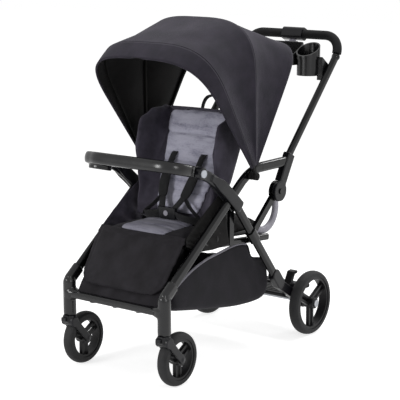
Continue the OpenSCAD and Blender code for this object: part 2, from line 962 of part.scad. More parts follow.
// Side wings that stand furthest forward beside the head, as shares of their reach and height.
wing_profile = [[0.2, 0], [0.6, 0.3], [0.92, 0.56], [1, 0.78], [0.92, 0.86], [0.76, 0.9], [0.25, 1]];

module side_wings() {
    wing_foot = 60;
    wing_edge = 6;
    z0 = wing_foot;
    z1 = back_len - wing_edge;
    color(cloth_black)
        on_back()
            for (side = [-1, 1])
                on_side(side)
                    translate([back_half_w + soft_gap, 0, 0])
                        rotate([90, 0, 90])
                            linear_extrude(wing_t)
                                polygon(concat([[board_t, z1], [board_t, z0]],
                                    [for (p = wing_profile) [-wing_reach * p[0], z0 + (z1 - z0) * p[1]]]));
}

module shoulder_straps() {
    strap_x = 55;
    strap_t = 4;
    foot = 110;
    head = 90;
    lift = back_pad_t + pad_crown + 2 * soft_gap;
    color(cloth_black)
        on_back()
            for (side = [-1, 1])
                translate([side * strap_x - web_w / 2, -lift - strap_t, foot])
                    cube([web_w, strap_t, back_len - foot - head]);
}

// Child tray

module child_tray() {
    side_in = tube_in - gap;
    heel = 16;
    ear = 22;
    rear = tray_pivot_y + heel;
    front = tray_pivot_y - tray_reach;
    nose_r = 70;
    drop = 16;
    pin_end = tube_in + tray_pin_len;
    z0 = tray_pivot_z - drop;
    cup_share = 0.48;
    cup_y = tray_pivot_y - tray_reach * cup_share;
    pocket_floor = 12;
    pocket_y = 84;
    pocket_r = 24;
    pocket_edge = 64;
    pocket_x0 = child_cup_r + tray_wall - child_cup_x;
    pocket_x1 = side_in - pocket_edge;
    pocket_w = pocket_x1 - pocket_x0;
    lobe_wall = 17;
    lobe_r = child_cup_r + lobe_wall;
    lobe_room = 2;
    color(satin_black)
        translate([0, tray_pivot_y, tray_pivot_z])
            rotate([-tray_tilt, 0, 0])
                translate([0, -tray_pivot_y, -tray_pivot_z])
                    difference() {
                        union() {
                            translate([0, (rear + front) / 2, 0])
                                round_plate([2 * side_in, rear - front], nose_r, z0, tray_h);
                            translate([-side_in, tray_pivot_y - ear, z0])
                                cube([2 * side_in, heel + ear, tray_h]);
                            difference() {
                                translate([-child_cup_x, cup_y, z0])
                                    cylinder(h = tray_h, r = lobe_r);
                                on_side(-1)
                                    cross_rod(tray_pivot, tray_end_r + lobe_room, side_in,
                                        child_cup_x + lobe_r);
                            }
                            translate([-child_cup_x, cup_y, z0 + tray_h - child_cup_depth - tray_wall])
                                cylinder(h = child_cup_depth + tray_wall, r = child_cup_r + tray_wall);
                            cross_rod(tray_pivot, tray_pin_r, -pin_end, pin_end);
                        }
                        translate([-child_cup_x, cup_y, z0 + tray_h - child_cup_depth])
                            cylinder(h = child_cup_depth + cut, r = child_cup_r);
                        translate([(pocket_x0 + pocket_x1) / 2, cup_y, 0])
                            round_plate([pocket_w, pocket_y], pocket_r, z0 + pocket_floor, tray_h);
                    }
}

module tray_button(side) {
    color(trim_grey)
        on_side(side)
            cross_rod(tray_pivot, tray_button_r, button_in, tube_out + button_proud);
}

// Rear frame

module rear_leg(side) {
    eye_wall = 2;
    start = 8;
    color(gloss_black)
        on_side(side)
            difference() {
                union() {
                    run(rear_pivot + start * along(rear_ang), rear_foot)
                        oval_ring(rear_tube_w, tube_t);
                    cross_rod(rear_pivot, rear_tube_w / 2 + eye_wall, tube_in, tube_out);
                }
                cross_rod(rear_pivot, pivot_pin_r + run_fit, tube_in - cut, tube_out + cut);
            }
}

module rear_foot_part(side) {
    socket = 46;
    socket_wall = 5;
    socket_t = tube_t + 6;
    arm_w = 34;
    axle_boss_r = 22;
    brake_wall = 7;
    brake_web = 18;
    color(satin_black)
        on_side(side)
            difference() {
                union() {
                    slab(xm - socket_t / 2, socket_t)
                        bar(rear_foot - socket * along(rear_ang), rear_foot, rear_tube_w + 2 * socket_wall);
                    slab(foot_in, foot_t) {
                        bar(rear_foot, rear_axle, arm_w);
                        translate(rear_axle)
                            circle(axle_boss_r);
                        translate(brake_pivot)
                            circle(brake_rod_r + brake_wall);
                        bar(brake_pivot, brake_root, brake_web);
                    }
                }
                run(rear_foot - 3 * socket * along(rear_ang), rear_foot)
                    oval(rear_tube_w, tube_t);
                cross_rod(rear_axle, rear_axle_r, 0, 2 * xm);
                cross_rod(brake_pivot, brake_rod_r + run_fit, 0, 2 * xm);
            }
}

module rear_axle_part() {
    out = rear_x + rear_hub_len / 2 + gap;
    cap_r = 13;
    color(trim_grey) {
        cross_rod(rear_axle, rear_axle_r, -out, out);
        for (side = [-1, 1])
            on_side(side)
                cross_rod(rear_axle, cap_r, out, out + axle_cap_t);
    }
}

platform_shift = 24;
platform_mid = rear_axle_y - platform_shift;

module platform() {
    half_w = foot_in - soft_gap;
    hanger_t = 12;
    hanger_w = 30;
    corner_r = 5;
    ribs = 9;
    rib_r = 2;
    rib_end = half_w - 26;
    rib_pitch = platform_len / (ribs + 1);
    color(trim_grey)
        difference() {
            union() {
                slab(-half_w, 2 * half_w)
                    translate([platform_mid, platform_z - platform_t / 2])
                        rounded([platform_len, platform_t], corner_r);
                for (i = [1:ribs])
                    slab(-rib_end, 2 * rib_end)
                        translate([platform_mid - platform_len / 2 + i * rib_pitch, platform_z])
                            circle(rib_r);
                for (side = [-1, 1])
                    on_side(side)
                        slab(half_w - hanger_t, hanger_t)
                            bar([rear_axle_y, platform_z - platform_t / 2], rear_axle, hanger_w);
            }
            cross_rod(rear_axle, rear_axle_r, -half_w - cut, half_w + cut);
        }
}

module fold_links() {
    link_w = 24;
    collar_len = 46;
    collar_half = collar_len / 2 * along(rear_ang);
    collar_wall = 5;
    cap_wall = 4;
    x0 = xm - gap / 2 - fold_disc_t;
    x1 = xm + fold_disc_t;
    color(satin_black)
        for (side = [-1, 1])
            on_side(side) {
                difference() {
                    union() {
                        cross_rod(fold, fold_disc_r, x0, x0 + fold_disc_t);
                        slab(x0, fold_disc_t)
                            bar(fold, saddle, link_w);
                        run(saddle - collar_half, saddle + collar_half)
                            oval(rear_tube_w + 2 * collar_wall, tube_t + 2 * collar_wall);
                    }
                    run(saddle - 2 * collar_half, saddle + 2 * collar_half)
                        oval(rear_tube_w, tube_t);
                }
                cross_rod(fold, fold_pin_r, x0, x1 + fold_cap_t);
                cross_rod(fold, fold_pin_r + cap_wall, x1 + gap, x1 + fold_cap_t);
            }
}

module brake_bar() {
    reach = 46;
    rise_ang = 62;
    toe_ang = 8;
    toe_len = 16;
    lever_w = 13;
    toe_w = 11;
    pedal = brake_pivot + reach * along(rise_ang);
    half_w = foot_in - soft_gap;
    rod_end = foot_out - cut;
    color(trim_grey) {
        cross_rod(brake_pivot, brake_rod_r, -rod_end, rod_end);
        for (side = [-1, 1])
            on_side(side)
                slab(half_w - pedal_w, pedal_w) {
                    bar(brake_pivot, pedal, lever_w);
                    bar(pedal, pedal + toe_len * along(toe_ang), toe_w);
                }
    }
}

// Push bar and handle

module in_arch() {
    translate([0, knee[0], knee[1]])
        rotate([arch_ang, 0, 0])
            children();
}

// The round arch of the handle, from one knee to the other, as a rod of radius r.
module arch_rod(r, from) {
    for (side = [-1, 1])
        on_side(side) {
            translate([xm, from, 0])
                rotate([-90, 0, 0])
                    cylinder(h = arch_leg - from, r = r);
            translate([xm - arch_r, arch_leg, 0])
                rotate_extrude(angle = 90)
                    translate([arch_r, 0])
                        circle(r);
        }
    translate([0, arch_h, 0])
        rotate([0, 90, 0])
            cylinder(h = 2 * (xm - arch_r), r = r, center = true);
}

module push_bar() {
    tube_tail = 20;
    trim = 100;
    color(gloss_black) {
        difference() {
            for (side = [-1, 1])
                on_side(side)
                    run(sleeve_top - tube_tail * along(push_ang), knee)
                        oval_ring(push_w, tube_t);
            slab(-2 * xm, 4 * xm)
                translate(sleeve_top)
                    rotate(sleeve_ang)
                        translate([-trim, -trim / 2])
                            square(trim);
        }
        for (side = [-1, 1])
            translate([side * xm, knee[0], knee[1]])
                sphere(knee_r);
        in_arch()
            arch_rod(arch_core_r, 0);
    }
}

module handle_sleeves() {
    x1 = xm + gap / 2;
    color(satin_black)
        for (side = [-1, 1])
            on_side(side)
                difference() {
                    union() {
                        cross_rod(fold, fold_disc_r, x1, x1 + fold_disc_t - gap / 2);
                        slab(xm - sleeve_t / 2, sleeve_t)
                            translate(fold)
                                rotate(sleeve_ang)
                                    translate([0, -sleeve_w / 2])
                                        square([sleeve_len, sleeve_w]);
                    }
                    cross_rod(fold, fold_disc_r + cut, x1 - sleeve_t, x1);
                    cross_rod(fold, fold_pin_r + run_fit, x1 - cut, 2 * xm);
                }
}

module handle_grip() {
    start = knee_r + soft_gap;
    color(satin_black)
        difference() {
            in_arch()
                difference() {
                    arch_rod(grip_r, min(start, arch_leg - cut));
                    arch_rod(arch_core_r, 0);
                }
            in_arch()
                translate([0, arch_h, 0])
                    cube([block_w, 4 * grip_r, 4 * grip_r], center = true);
            for (side = [-1, 1])
                translate([side * xm, knee[0], knee[1]])
                    sphere(knee_r + soft_gap);
        }
}

module handle_block() {
    flat = 4;
    corner_r = 14;
    slot_w = trigger_stem_w + 2 * gap;
    slot_d = trigger_d + 2 * gap;
    color(satin_black)
        in_arch()
            difference() {
                translate([-block_w / 2, arch_h, 0])
                    rotate([90, 0, 90])
                        linear_extrude(block_w)
                            rounded([block_d, block_d - flat], corner_r);
                translate([-xm, arch_h, 0])
                    rotate([0, 90, 0])
                        cylinder(h = 2 * xm, r = arch_core_r);
                translate([-slot_w / 2, arch_h - block_d / 2 - cut, -slot_d / 2])
                    cube([slot_w, block_d / 2 - arch_core_r, slot_d]);
            }
}

module fold_trigger() {
    paddle_d = 16;
    corner_r = 5;
    root = 2;
    bottom = arch_h - block_d / 2;
    color(trim_grey)
        in_arch() {
            translate([0, bottom - trigger_rest - trigger_d / 2, 0])
                linear_extrude(paddle_d, center = true)
                    rounded([trigger_w, trigger_d], corner_r);
            translate([-trigger_stem_w / 2, bottom - trigger_rest - root, -trigger_d / 2])
                cube([trigger_stem_w, trigger_rest + 2 * root, trigger_d]);
        }
}

module parent_tray() {
    bracket = sleeve_top + parent_tray_s * along(push_ang);
    set_front = 26;
    set_down = 14;
    y = bracket[0] - set_front;
    z0 = bracket[1] - set_down;
    brim = z0 + tray_wall + parent_cup_depth;
    outer_r = parent_cup_r + tray_wall;
    hood_step = 1;
    hood_r = parent_cup_r + hood_step;
    hood_out_r = hood_r + tray_wall + 2 * hood_step;
    hood_rise = 2 * hood_out_r * tan(hood_tilt);
    collar = 9;
    lip = 3;
    pocket = [2 * (parent_cup_x - parent_cup_r - 1.5 * tray_wall), 2 * parent_cup_r];
    pocket_depth = 30;
    pocket_r = 13;
    half_len = parent_cup_x + hood_out_r + cut;
    arm_in = parent_cup_x + parent_cup_r + tray_wall / 2;
    arm_drop = 40;
    arm_lift = 30;
    front = [y - hood_out_r, brim + lip];
    back = [y + hood_out_r, brim + lip + hood_rise];
    color(satin_black)
        difference() {
            union() {
                for (side = [-1, 1])
                    translate([side * parent_cup_x, y, 0]) {
                        translate([0, 0, z0])
                            cylinder(h = brim - z0, r = outer_r);
                        translate([0, 0, brim - collar])
                            cylinder(h = collar + lip + hood_rise, r = hood_out_r);
                    }
                translate([0, y, 0])
                    round_plate(pocket + [2 * tray_wall, 2 * tray_wall], pocket_r + tray_wall,
                        brim - pocket_depth - tray_wall, pocket_depth + tray_wall + lip + hood_rise);
                for (side = [-1, 1])
                    on_side(side)
                        slab(arm_in, tube_in - arm_in)
                            polygon([bracket - arm_drop * along(push_ang), bracket + arm_lift * along(push_ang),
                                [y, brim], [y, z0 + collar]]);
            }
            for (side = [-1, 1])
                translate([side * parent_cup_x, y, 0]) {
                    translate([0, 0, z0 + tray_wall])
                        cylinder(h = parent_cup_depth + cut, r = parent_cup_r);
                    translate([0, 0, brim])
                        cylinder(h = lip + hood_rise + cut, r = hood_r);
                }
            translate([0, y, 0])
                round_plate(pocket, pocket_r, brim - pocket_depth, pocket_depth + lip + hood_rise + cut);
            slab(-half_len, 2 * half_len)
                polygon([front, back, back + [cut, cut], [front[0] - cut, back[1] + cut], front - [cut, 0]]);
        }
}

// Casters

fork_wall = 5.5;
fork_room = 1.5;
fork_in = front_tyre_w / 2 + fork_room;
fork_out = fork_in + fork_wall;
crown_z = casting_z - gap;
nose_len = 2;
nose_y = stem_y - casting_r - nose_len;

module caster_fork(side) {
    crown_drop = 24;
    crown_r = 18;
    blade_w = 26;
    nose_w = 24;
    wheel_room = 4;
    nut_t = 2;
    stem_root = 2;
    crown = [stem_y, casting_z - crown_drop];
    color(satin_black)
        on_side(side) {
            difference() {
                union() {
                    slab(xm - fork_out, 2 * fork_out)
                        translate(crown)
                            circle(crown_r);
                    for (x0 = [xm - fork_out, xm + fork_in])
                        slab(x0, fork_wall)
                            bar(crown, front_axle, blade_w);
                    translate([xm, stem_y, crown[1]])
                        cylinder(h = crown_z - crown[1], r = casting_r);
                    translate([xm - nose_w / 2, nose_y, crown[1]])
                        cube([nose_w, stem_y - nose_y, crown_z - crown[1]]);
                }
                cross_rod(front_axle, front_wheel_d / 2 + wheel_room, xm - fork_in, xm + fork_in);
            }
            cross_rod(front_axle, front_axle_r, xm - fork_out - nut_t, xm + fork_out + nut_t);
            translate([xm, stem_y, crown_z - stem_root])
                cylinder(h = stem_top - crown_z, r = stem_r);
        }
}

module swivel_lock(side) {
    tab = [18, 10, 12];
    drop = 18;
    color(trim_grey)
        on_side(side)
            translate([xm - tab[0] / 2, nose_y - soft_gap - tab[1], crown_z - drop])
                cube(tab);
}

// Wheels: turned about their axles, with pairs of spokes

module on_axle(side, x, axle) {
    translate([side * x, axle[0], axle[1]])
        rotate([0, 90, 0])
            children();
}

module tyre(r, w) {
    rotate_extrude($fn = 96)
        polygon(concat([[r - tyre_h, w / 2], [r - tyre_h, -w / 2]],
            [for (a = [-90:15:90]) [r - tyre_crown * (1 - cos(a)), w / 2 * sin(a)]]));
}

module rim(r, w, hub_len, bore) {
    seat = r - tyre_h;
    ring_w = 0.84 * w;
    difference() {
        union() {
            rotate_extrude($fn = 96)
                translate([seat - rim_h, -ring_w / 2])
                    square([rim_h, ring_w]);
            cylinder(h = hub_len, r = wheel_hub_r, center = true);
            for (i = [0:spoke_pairs - 1], s = [-1, 1])
                rotate(i * 360 / spoke_pairs)
                    translate([0, s * spoke_gap / 2 - spoke_w / 2, -spoke_t / 2])
                        cube([seat - rim_h / 2, spoke_w, spoke_t]);
        }
        cylinder(h = hub_len + 2 * cut, r = bore, center = true);
    }
}

module front_rim(side) {
    color(satin_black)
        on_axle(side, xm, front_axle)
            rim(front_wheel_d / 2, front_tyre_w, 2 * fork_in - 2 * gap, front_axle_r + run_fit);
}

module front_tyre(side) {
    color(tyre_grey)
        on_axle(side, xm, front_axle)
            tyre(front_wheel_d / 2, front_tyre_w);
}

module rear_rim(side) {
    color(satin_black)
        on_axle(side, rear_x, rear_axle)
            rim(rear_wheel_d / 2, rear_tyre_w, rear_hub_len, rear_axle_r + run_fit);
}

module rear_tyre(side) {
    color(tyre_grey)
        on_axle(side, rear_x, rear_axle)
            tyre(rear_wheel_d / 2, rear_tyre_w);
}

front_leg(1);  // front_leg_right
front_leg(-1);  // front_leg_left
upper_arm(1);  // upper_arm_right
upper_arm(-1);  // upper_arm_left
hub_part(1);  // hub_right
hub_part(-1);  // hub_left
front_casting(1);  // front_casting_right
front_casting(-1);  // front_casting_left
footrest();
seat_rails();
seat_pan();
seat_cushion();
calf_panel();
seat_gussets();
basket();
bench_base();
bench_pad();
bench_arms();
crotch_strap();
buckle();
buckle_button();
canopy_rear_bow();
canopy_rear_panel();
canopy_middle_bow();
canopy_front_panel();
canopy_front_bow();
canopy_visor();
backrest_board();
backrest_pad();
side_wings();
shoulder_straps();
child_tray();
tray_button(1);  // tray_button_right
tray_button(-1);  // tray_button_left
rear_leg(1);  // rear_leg_right
rear_leg(-1);  // rear_leg_left
rear_foot_part(1);  // rear_foot_right
rear_foot_part(-1);  // rear_foot_left
rear_axle_part();  // rear_axle
platform();
fold_links();
brake_bar();
push_bar();
handle_sleeves();
handle_grip();
handle_block();
parent_tray();
fold_trigger();
caster_fork(1);  // caster_fork_right
caster_fork(-1);  // caster_fork_left
swivel_lock(1);  // swivel_lock_right
swivel_lock(-1);  // swivel_lock_left
front_rim(1);  // front_rim_right
front_rim(-1);  // front_rim_left
front_tyre(1);  // front_tyre_right
front_tyre(-1);  // front_tyre_left
rear_rim(1);  // rear_rim_right
rear_rim(-1);  // rear_rim_left
rear_tyre(1);  // rear_tyre_right
rear_tyre(-1);  // rear_tyre_left
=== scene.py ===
# %% [markdown]
# # A tandem stroller, dressed
# The CAD model gives every hard part in its real place. This lesson puts cloth, webbing, foam and moulded
# surfaces on it, one piece at a time, and rides most pieces on the body that carries them.

# %% Load the frame
import json
import math

import bmesh
import bpy
import numpy as np
from mathutils import Matrix, Vector, noise

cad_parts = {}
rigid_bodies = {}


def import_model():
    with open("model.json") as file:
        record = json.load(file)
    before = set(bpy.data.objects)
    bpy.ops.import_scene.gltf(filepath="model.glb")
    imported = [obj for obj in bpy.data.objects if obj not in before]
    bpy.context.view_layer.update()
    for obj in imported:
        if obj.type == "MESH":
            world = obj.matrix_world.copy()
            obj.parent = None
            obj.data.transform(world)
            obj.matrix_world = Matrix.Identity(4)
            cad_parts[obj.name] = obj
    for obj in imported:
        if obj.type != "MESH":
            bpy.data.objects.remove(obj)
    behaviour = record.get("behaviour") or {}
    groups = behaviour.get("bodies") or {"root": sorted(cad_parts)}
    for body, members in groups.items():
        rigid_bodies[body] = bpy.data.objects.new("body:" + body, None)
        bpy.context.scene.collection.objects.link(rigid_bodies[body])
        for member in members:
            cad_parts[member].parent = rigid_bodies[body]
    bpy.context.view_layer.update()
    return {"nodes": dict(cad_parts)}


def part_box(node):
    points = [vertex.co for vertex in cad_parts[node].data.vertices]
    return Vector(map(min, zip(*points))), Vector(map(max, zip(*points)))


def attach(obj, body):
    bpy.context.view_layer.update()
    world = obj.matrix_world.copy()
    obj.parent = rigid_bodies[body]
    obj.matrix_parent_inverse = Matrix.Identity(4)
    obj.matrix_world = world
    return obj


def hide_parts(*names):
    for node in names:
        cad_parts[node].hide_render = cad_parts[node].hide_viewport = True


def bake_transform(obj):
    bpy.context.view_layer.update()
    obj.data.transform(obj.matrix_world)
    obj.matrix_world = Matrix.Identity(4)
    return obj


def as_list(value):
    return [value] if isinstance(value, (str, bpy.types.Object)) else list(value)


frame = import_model()
nodes = frame["nodes"]
scene = bpy.context.scene
scene.view_settings.view_transform = "Standard"
MM = 0.001

# %% [markdown]
# ## Camera
# The photograph is a long-lens studio shot from the front right, a little above the seat. The camera
# could be fitted by eye, but its place follows from the wheels and the handle, so it is written as an
# azimuth, an elevation and a distance round one target point.

# %% Camera
AZIMUTH = math.radians(37.285)
ELEVATION = math.radians(11.414)
DISTANCE = 4.8533
TARGET = Vector((-0.0074, -0.046, 0.5272))
toward_camera = Vector((
    math.sin(AZIMUTH) * math.cos(ELEVATION),
    -math.cos(AZIMUTH) * math.cos(ELEVATION),
    math.sin(ELEVATION),
))
lens = bpy.data.cameras.new("photo_camera")
lens.lens = 124.6
lens.sensor_width = 36.0
camera = bpy.data.objects.new("photo_camera", lens)
scene.collection.objects.link(camera)
camera.location = TARGET + DISTANCE * toward_camera
camera.rotation_mode = "QUATERNION"
camera.rotation_quaternion = (-toward_camera).to_track_quat("-Z", "Y")
scene.camera = camera
print("camera at", [round(v, 3) for v in camera.location])

# %% [markdown]
# ## Colours and nodes
# Colours are picked as sRGB hex values, as on a paint card, and Blender's shaders want linear light, so
# one function converts them. One more function adds a shader node with its settings and links, which
# keeps each material readable as a list of steps.

# %% Colours and nodes
def colour(hex_value):
    parts = [int(hex_value[i:i + 2], 16) / 255 for i in (1, 3, 5)]
    return tuple(c / 12.92 if c <= 0.04045 else ((c + 0.055) / 1.055) ** 2.4 for c in parts) + (1.0,)


def add(tree, kind, sockets=None, **settings):
    made = tree.nodes.new(kind)
    for key, value in settings.items():
        setattr(made, key, value)
    for key, value in (sockets or {}).items():
        if isinstance(value, bpy.types.NodeSocket):
            tree.links.new(value, made.inputs[key])
        else:
            made.inputs[key].default_value = value
    return made


def new_material(name, **constant):
    mat = bpy.data.materials.new(name)
    mat.use_nodes = True
    shader = mat.node_tree.nodes["Principled BSDF"]
    for key, value in constant.items():
        shader.inputs[key.replace("_", " ")].default_value = value
    return mat, mat.node_tree, shader

# %% [markdown]
# A finish is seldom one flat value: its colour runs between two shades, and its surface has a fine relief.
# These few steps come back in every material, so each is a function. Sizes are given in millimetres.

# %% Steps of a finish
def ramp(tree, factor, stops):
    made = add(tree, "ShaderNodeValToRGB", {"Fac": factor})
    steps = made.color_ramp.elements
    while len(steps) < len(stops):
        steps.new(0.5)
    for step, (place, value) in zip(steps, stops):
        step.position = place
        step.color = value
    return made.outputs["Color"]


def per_mm(size):
    return 1 / (size * MM)


def speckle(tree, where, size_mm, detail, **more):
    """Noise with lumps of size_mm, as a value from 0 to 1."""
    sockets = {"Vector": where, "Scale": per_mm(size_mm), "Detail": detail, **more}
    return add(tree, "ShaderNodeTexNoise", sockets).outputs["Fac"]


def bumped(tree, height, strength, relief_mm):
    sockets = {"Height": height, "Strength": strength, "Distance": relief_mm * MM}
    return add(tree, "ShaderNodeBump", sockets).outputs["Normal"]


def join(tree, shader, **outputs):
    """Links outputs to the shader's sockets, whose names have _ for each space."""
    for key, output in outputs.items():
        tree.links.new(output, shader.inputs[key.replace("_", " ")])

# %% [markdown]
# ## Painted steel tube
# The legs, arms and push bar are steel tube under gloss black powder coat. Powder flows out as it is
# baked and leaves a faint orange peel, which softens each long highlight. A clear coat layer over a near
# black base gives both the sharp edge of the highlight and its soft foot.

# %% Gloss powder coat
def gloss_powder_coat():
    mat, tree, shader = new_material("steel_gloss_powder_coat", IOR=1.5, Coat_Weight=0.3, Coat_Roughness=0.05,
                                     Specular_IOR_Level=0.12)
    where = add(tree, "ShaderNodeTexCoord").outputs["Object"]
    peel = speckle(tree, where, 3, 1.0)
    dust = speckle(tree, where, 60, 4.0)
    tone = ramp(tree, dust, [(0.3, colour("#040405")), (0.75, colour("#0d0d0f"))])
    rough = add(tree, "ShaderNodeMapRange", {"Value": dust, "To Min": 0.12, "To Max": 0.24})
    join(tree, shader, Base_Color=tone, Roughness=rough.outputs["Result"],
         Normal=bumped(tree, peel, 0.06, 0.2))
    return mat


powder_coat = gloss_powder_coat()
print("made", powder_coat.name)

# %% [markdown]
# ## Moulded plastics
# Hubs, castings, trays, wheels and tyres come out of moulds. Glass-filled nylon has a spark-eroded grain
# that scatters light, ABS is smoother, and expanded tyre foam is the dullest. They differ in colour,
# grain size, roughness and gloss, so one function makes them all. Handled plastic is a little paler where
# it is dusty, which a slow cloud of noise shows.

# %% Moulded plastics
def moulded(name, dark, light, roughness, grain_mm, relief_mm, gloss=0.3):
    mat, tree, shader = new_material(name, IOR=1.5, Specular_IOR_Level=gloss)
    where = add(tree, "ShaderNodeTexCoord").outputs["Object"]
    cloud = speckle(tree, where, 45, 5.0)
    grain = speckle(tree, where, grain_mm, 2.0)
    tone = ramp(tree, cloud, [(0.3, colour(dark)), (0.72, colour(light))])
    rough = add(tree, "ShaderNodeMapRange", {
        "Value": cloud, "To Min": roughness - 0.06, "To Max": roughness + 0.08})
    join(tree, shader, Base_Color=tone, Roughness=rough.outputs["Result"],
         Normal=bumped(tree, grain, 0.3, relief_mm))
    return mat


# Grained nylon: a broad soft highlight. Satin ABS: a tighter, brighter one. Foam: nearly none.
nylon = moulded("nylon_moulded_grained", "#0b0b0e", "#151519", 0.29, 1.6, 0.08, gloss=0.24)
abs_black = moulded("abs_moulded_satin_black", "#08080a", "#111113", 0.24, 2.0, 0.04, gloss=0.4)
rim_nylon = moulded("nylon_moulded_rim", "#121213", "#1d1d1f", 0.4, 1.6, 0.12, gloss=0.2)
tyre_foam = moulded("eva_foam_moulded_tyre", "#1f1f20", "#303031", 0.62, 1.8, 0.3, gloss=0.2)
grey_abs = moulded("abs_moulded_grey", "#8f8d96", "#a5a3ac", 0.45, 1.6, 0.1)
silver_abs = moulded("abs_moulded_silver", "#b4b8c0", "#ccd0d7", 0.35, 1.6, 0.08)
grip_foam = moulded("eva_foam_sleeve", "#0e0e0f", "#1c1c1d", 0.85, 2.2, 0.5, gloss=0.2)
steel = moulded("steel_zinc_plated", "#8f9196", "#b4b6ba", 0.32, 1.0, 0.05, gloss=0.5)
steel.node_tree.nodes["Principled BSDF"].inputs["Metallic"].default_value = 1.0
print("made moulded plastics")

# %% [markdown]
# ## Woven and knitted cloth
# The cover is black polyester in a plain weave, which is matt with a soft sheen where it turns away.
# Threads are about 0.5 mm apart, far below a pixel here, so the weave is drawn at 3 mm to show at all.
# The grey insert is a heather knit: pale and dark fibres mixed, with soft darker streaks lying crosswise.

# %% Cloth
def maths(tree, operation, *values):
    return add(tree, "ShaderNodeMath", dict(enumerate(values)), operation=operation).outputs[0]


def woven(name, dark, light, thread_mm, cloud_mm, sheen=0.25, relief_mm=0.35):
    mat, tree, shader = new_material(name, IOR=1.45, Roughness=0.85, Specular_IOR_Level=0.25,
                                     Sheen_Weight=sheen, Sheen_Roughness=0.5, Sheen_Tint=colour("#c9c7d0"))
    where = add(tree, "ShaderNodeTexCoord").outputs["UV"]
    cloud = speckle(tree, where, cloud_mm, 6.0)
    wave = {"Vector": where, "Scale": per_mm(thread_mm) / 2, "Distortion": 0.4}
    warp, weft = [add(tree, "ShaderNodeTexWave", wave, bands_direction=axis).outputs["Fac"] for axis in "XY"]
    thread = maths(tree, "MULTIPLY", warp, weft)
    mixed = maths(tree, "MULTIPLY_ADD", thread, 0.12, cloud)
    tone = ramp(tree, mixed, [(0.36, colour(dark)), (0.72, colour(light))])
    join(tree, shader, Base_Color=tone, Normal=bumped(tree, thread, 0.4, relief_mm))
    return mat


def heather_knit(name, shades):
    mat, tree, shader = new_material(name, IOR=1.45, Roughness=0.9, Specular_IOR_Level=0.2, Sheen_Weight=0.03)
    where = add(tree, "ShaderNodeTexCoord").outputs["UV"]
    long, short = [add(tree, "ShaderNodeMapping", {"Vector": where, "Scale": (squeeze, 1.0, 1.0)}).outputs[0]
                   for squeeze in (0.3, 0.35)]
    streak = speckle(tree, long, 26, 5.0, Roughness=0.55)
    fibre = speckle(tree, short, 3, 3.0)
    mixed = maths(tree, "MULTIPLY_ADD", fibre, 0.35, streak)
    tone = ramp(tree, mixed, [(at, colour(shade)) for at, shade in zip((0.42, 0.55, 0.68, 0.9), shades)])
    join(tree, shader, Base_Color=tone, Normal=bumped(tree, fibre, 0.3, 0.4))
    return mat


# A lighter copy of the canopy's black cloth: painted light for the backrest's shell and binding, which lie in
# the canopy's shade, and for the gussets' inner faces.
polyester = woven("polyester_plain_weave_black", "#2f2c35", "#484450", 3.0, 55)
canopy_cloth = woven("polyester_canopy_black", "#1d1b23", "#2b2731", 3.0, 55, sheen=0.06)
# A darker copy of the same black cloth: painted shade for the seat cover, the calf panel and its flap, which
# catch more lamp light than the wings.
cover_cloth_painted_shade = woven("polyester_brushed_cover_black", "#151316", "#232125", 3.0, 55, sheen=0.04)
lining = woven("polyester_lining_black", "#0c0b0b", "#141313", 3.0, 70, sheen=0.02)
basket_cloth = woven("polyester_oxford_black", "#100f13", "#1c1a1f", 4.0, 60, sheen=0.08)
webbing = woven("polyester_webbing_black", "#121213", "#1f1f20", 2.5, 30, sheen=0.15, relief_mm=0.6)
piping_cloth = woven("polyester_piping_grey", "#6e6c74", "#85838b", 2.5, 30, sheen=0.2)
# The back's knit is a pale grey; the seat's is the same knit in a darker copy, which is painted shade for the
# tray's shadow over the seat.
heather = heather_knit("polyester_heather_knit", ["#6c6b78", "#9190a0", "#a8a7b6", "#b6b5c3"])
heather_painted_shade = heather_knit("polyester_heather_knit_dark", ["#52515b", "#6e6d7a", "#807f8a", "#8a8994"])
print("made cloth")

# %% [markdown]
# ## Finishes of the CAD parts
# Every CAD part gets a finish, also those that a softer piece replaces later on. A table from part of a
# node's name to a material says in one place what each is made of; the first match wins.

# %% Finishes of the CAD parts
FINISHES = [
    ("tyre", tyre_foam), ("rim", rim_nylon), ("handle_grip", grip_foam), ("tray_button", silver_abs),
    ("buckle_button", grey_abs), ("fold_trigger", grey_abs), ("bench_arms", grey_abs), ("brake", rim_nylon),
    ("swivel_lock", nylon), ("bow", lining), ("rear_axle", steel), ("front_leg", powder_coat),
    ("upper_arm", powder_coat), ("rear_leg", powder_coat), ("push_bar", powder_coat),
    ("seat_rails", powder_coat), ("fold_links", powder_coat), ("footrest", abs_black), ("tray", abs_black),
    ("", nylon),
]
for name, node in nodes.items():
    finish = next(mat for word, mat in FINISHES if word in name)
    node.data.materials.clear()
    node.data.materials.append(finish)
print("finished", len(nodes), "CAD parts")

# %% [markdown]
# ## Floor
# A product shot stands on a white paper sweep. The floor here is a pale diffuse sheet; where the camera or a
# shiny part sees it, some white is added, so it reads as white paper and still keeps the shadow.

# %% Floor
def seen(tree):
    """1 for a ray from the camera, off a shiny surface or through a clear one, and 0 for the others."""
    path = add(tree, "ShaderNodeLightPath").outputs
    found = path["Is Camera Ray"]
    for kind in ("Is Glossy Ray", "Is Transmission Ray"):
        found = maths(tree, "MAXIMUM", found, path[kind])
    return found


FLOOR_HALF, FLOOR_Z, FLOOR_VEIL = 14.0, -0.0005, 0.72


def paper_floor():
    mat = bpy.data.materials.new("paper_sweep_white")
    mat.use_nodes = True
    tree = mat.node_tree
    tree.nodes.clear()
    matt = add(tree, "ShaderNodeBsdfDiffuse", {"Color": colour("#d2d2d2")})
    veil = maths(tree, "MULTIPLY", seen(tree), FLOOR_VEIL)
    glow = add(tree, "ShaderNodeEmission", {"Color": colour("#ffffff"), "Strength": veil})
    both = add(tree, "ShaderNodeAddShader", {0: matt.outputs[0], 1: glow.outputs[0]})
    add(tree, "ShaderNodeOutputMaterial", {"Surface": both.outputs[0]})
    return mat


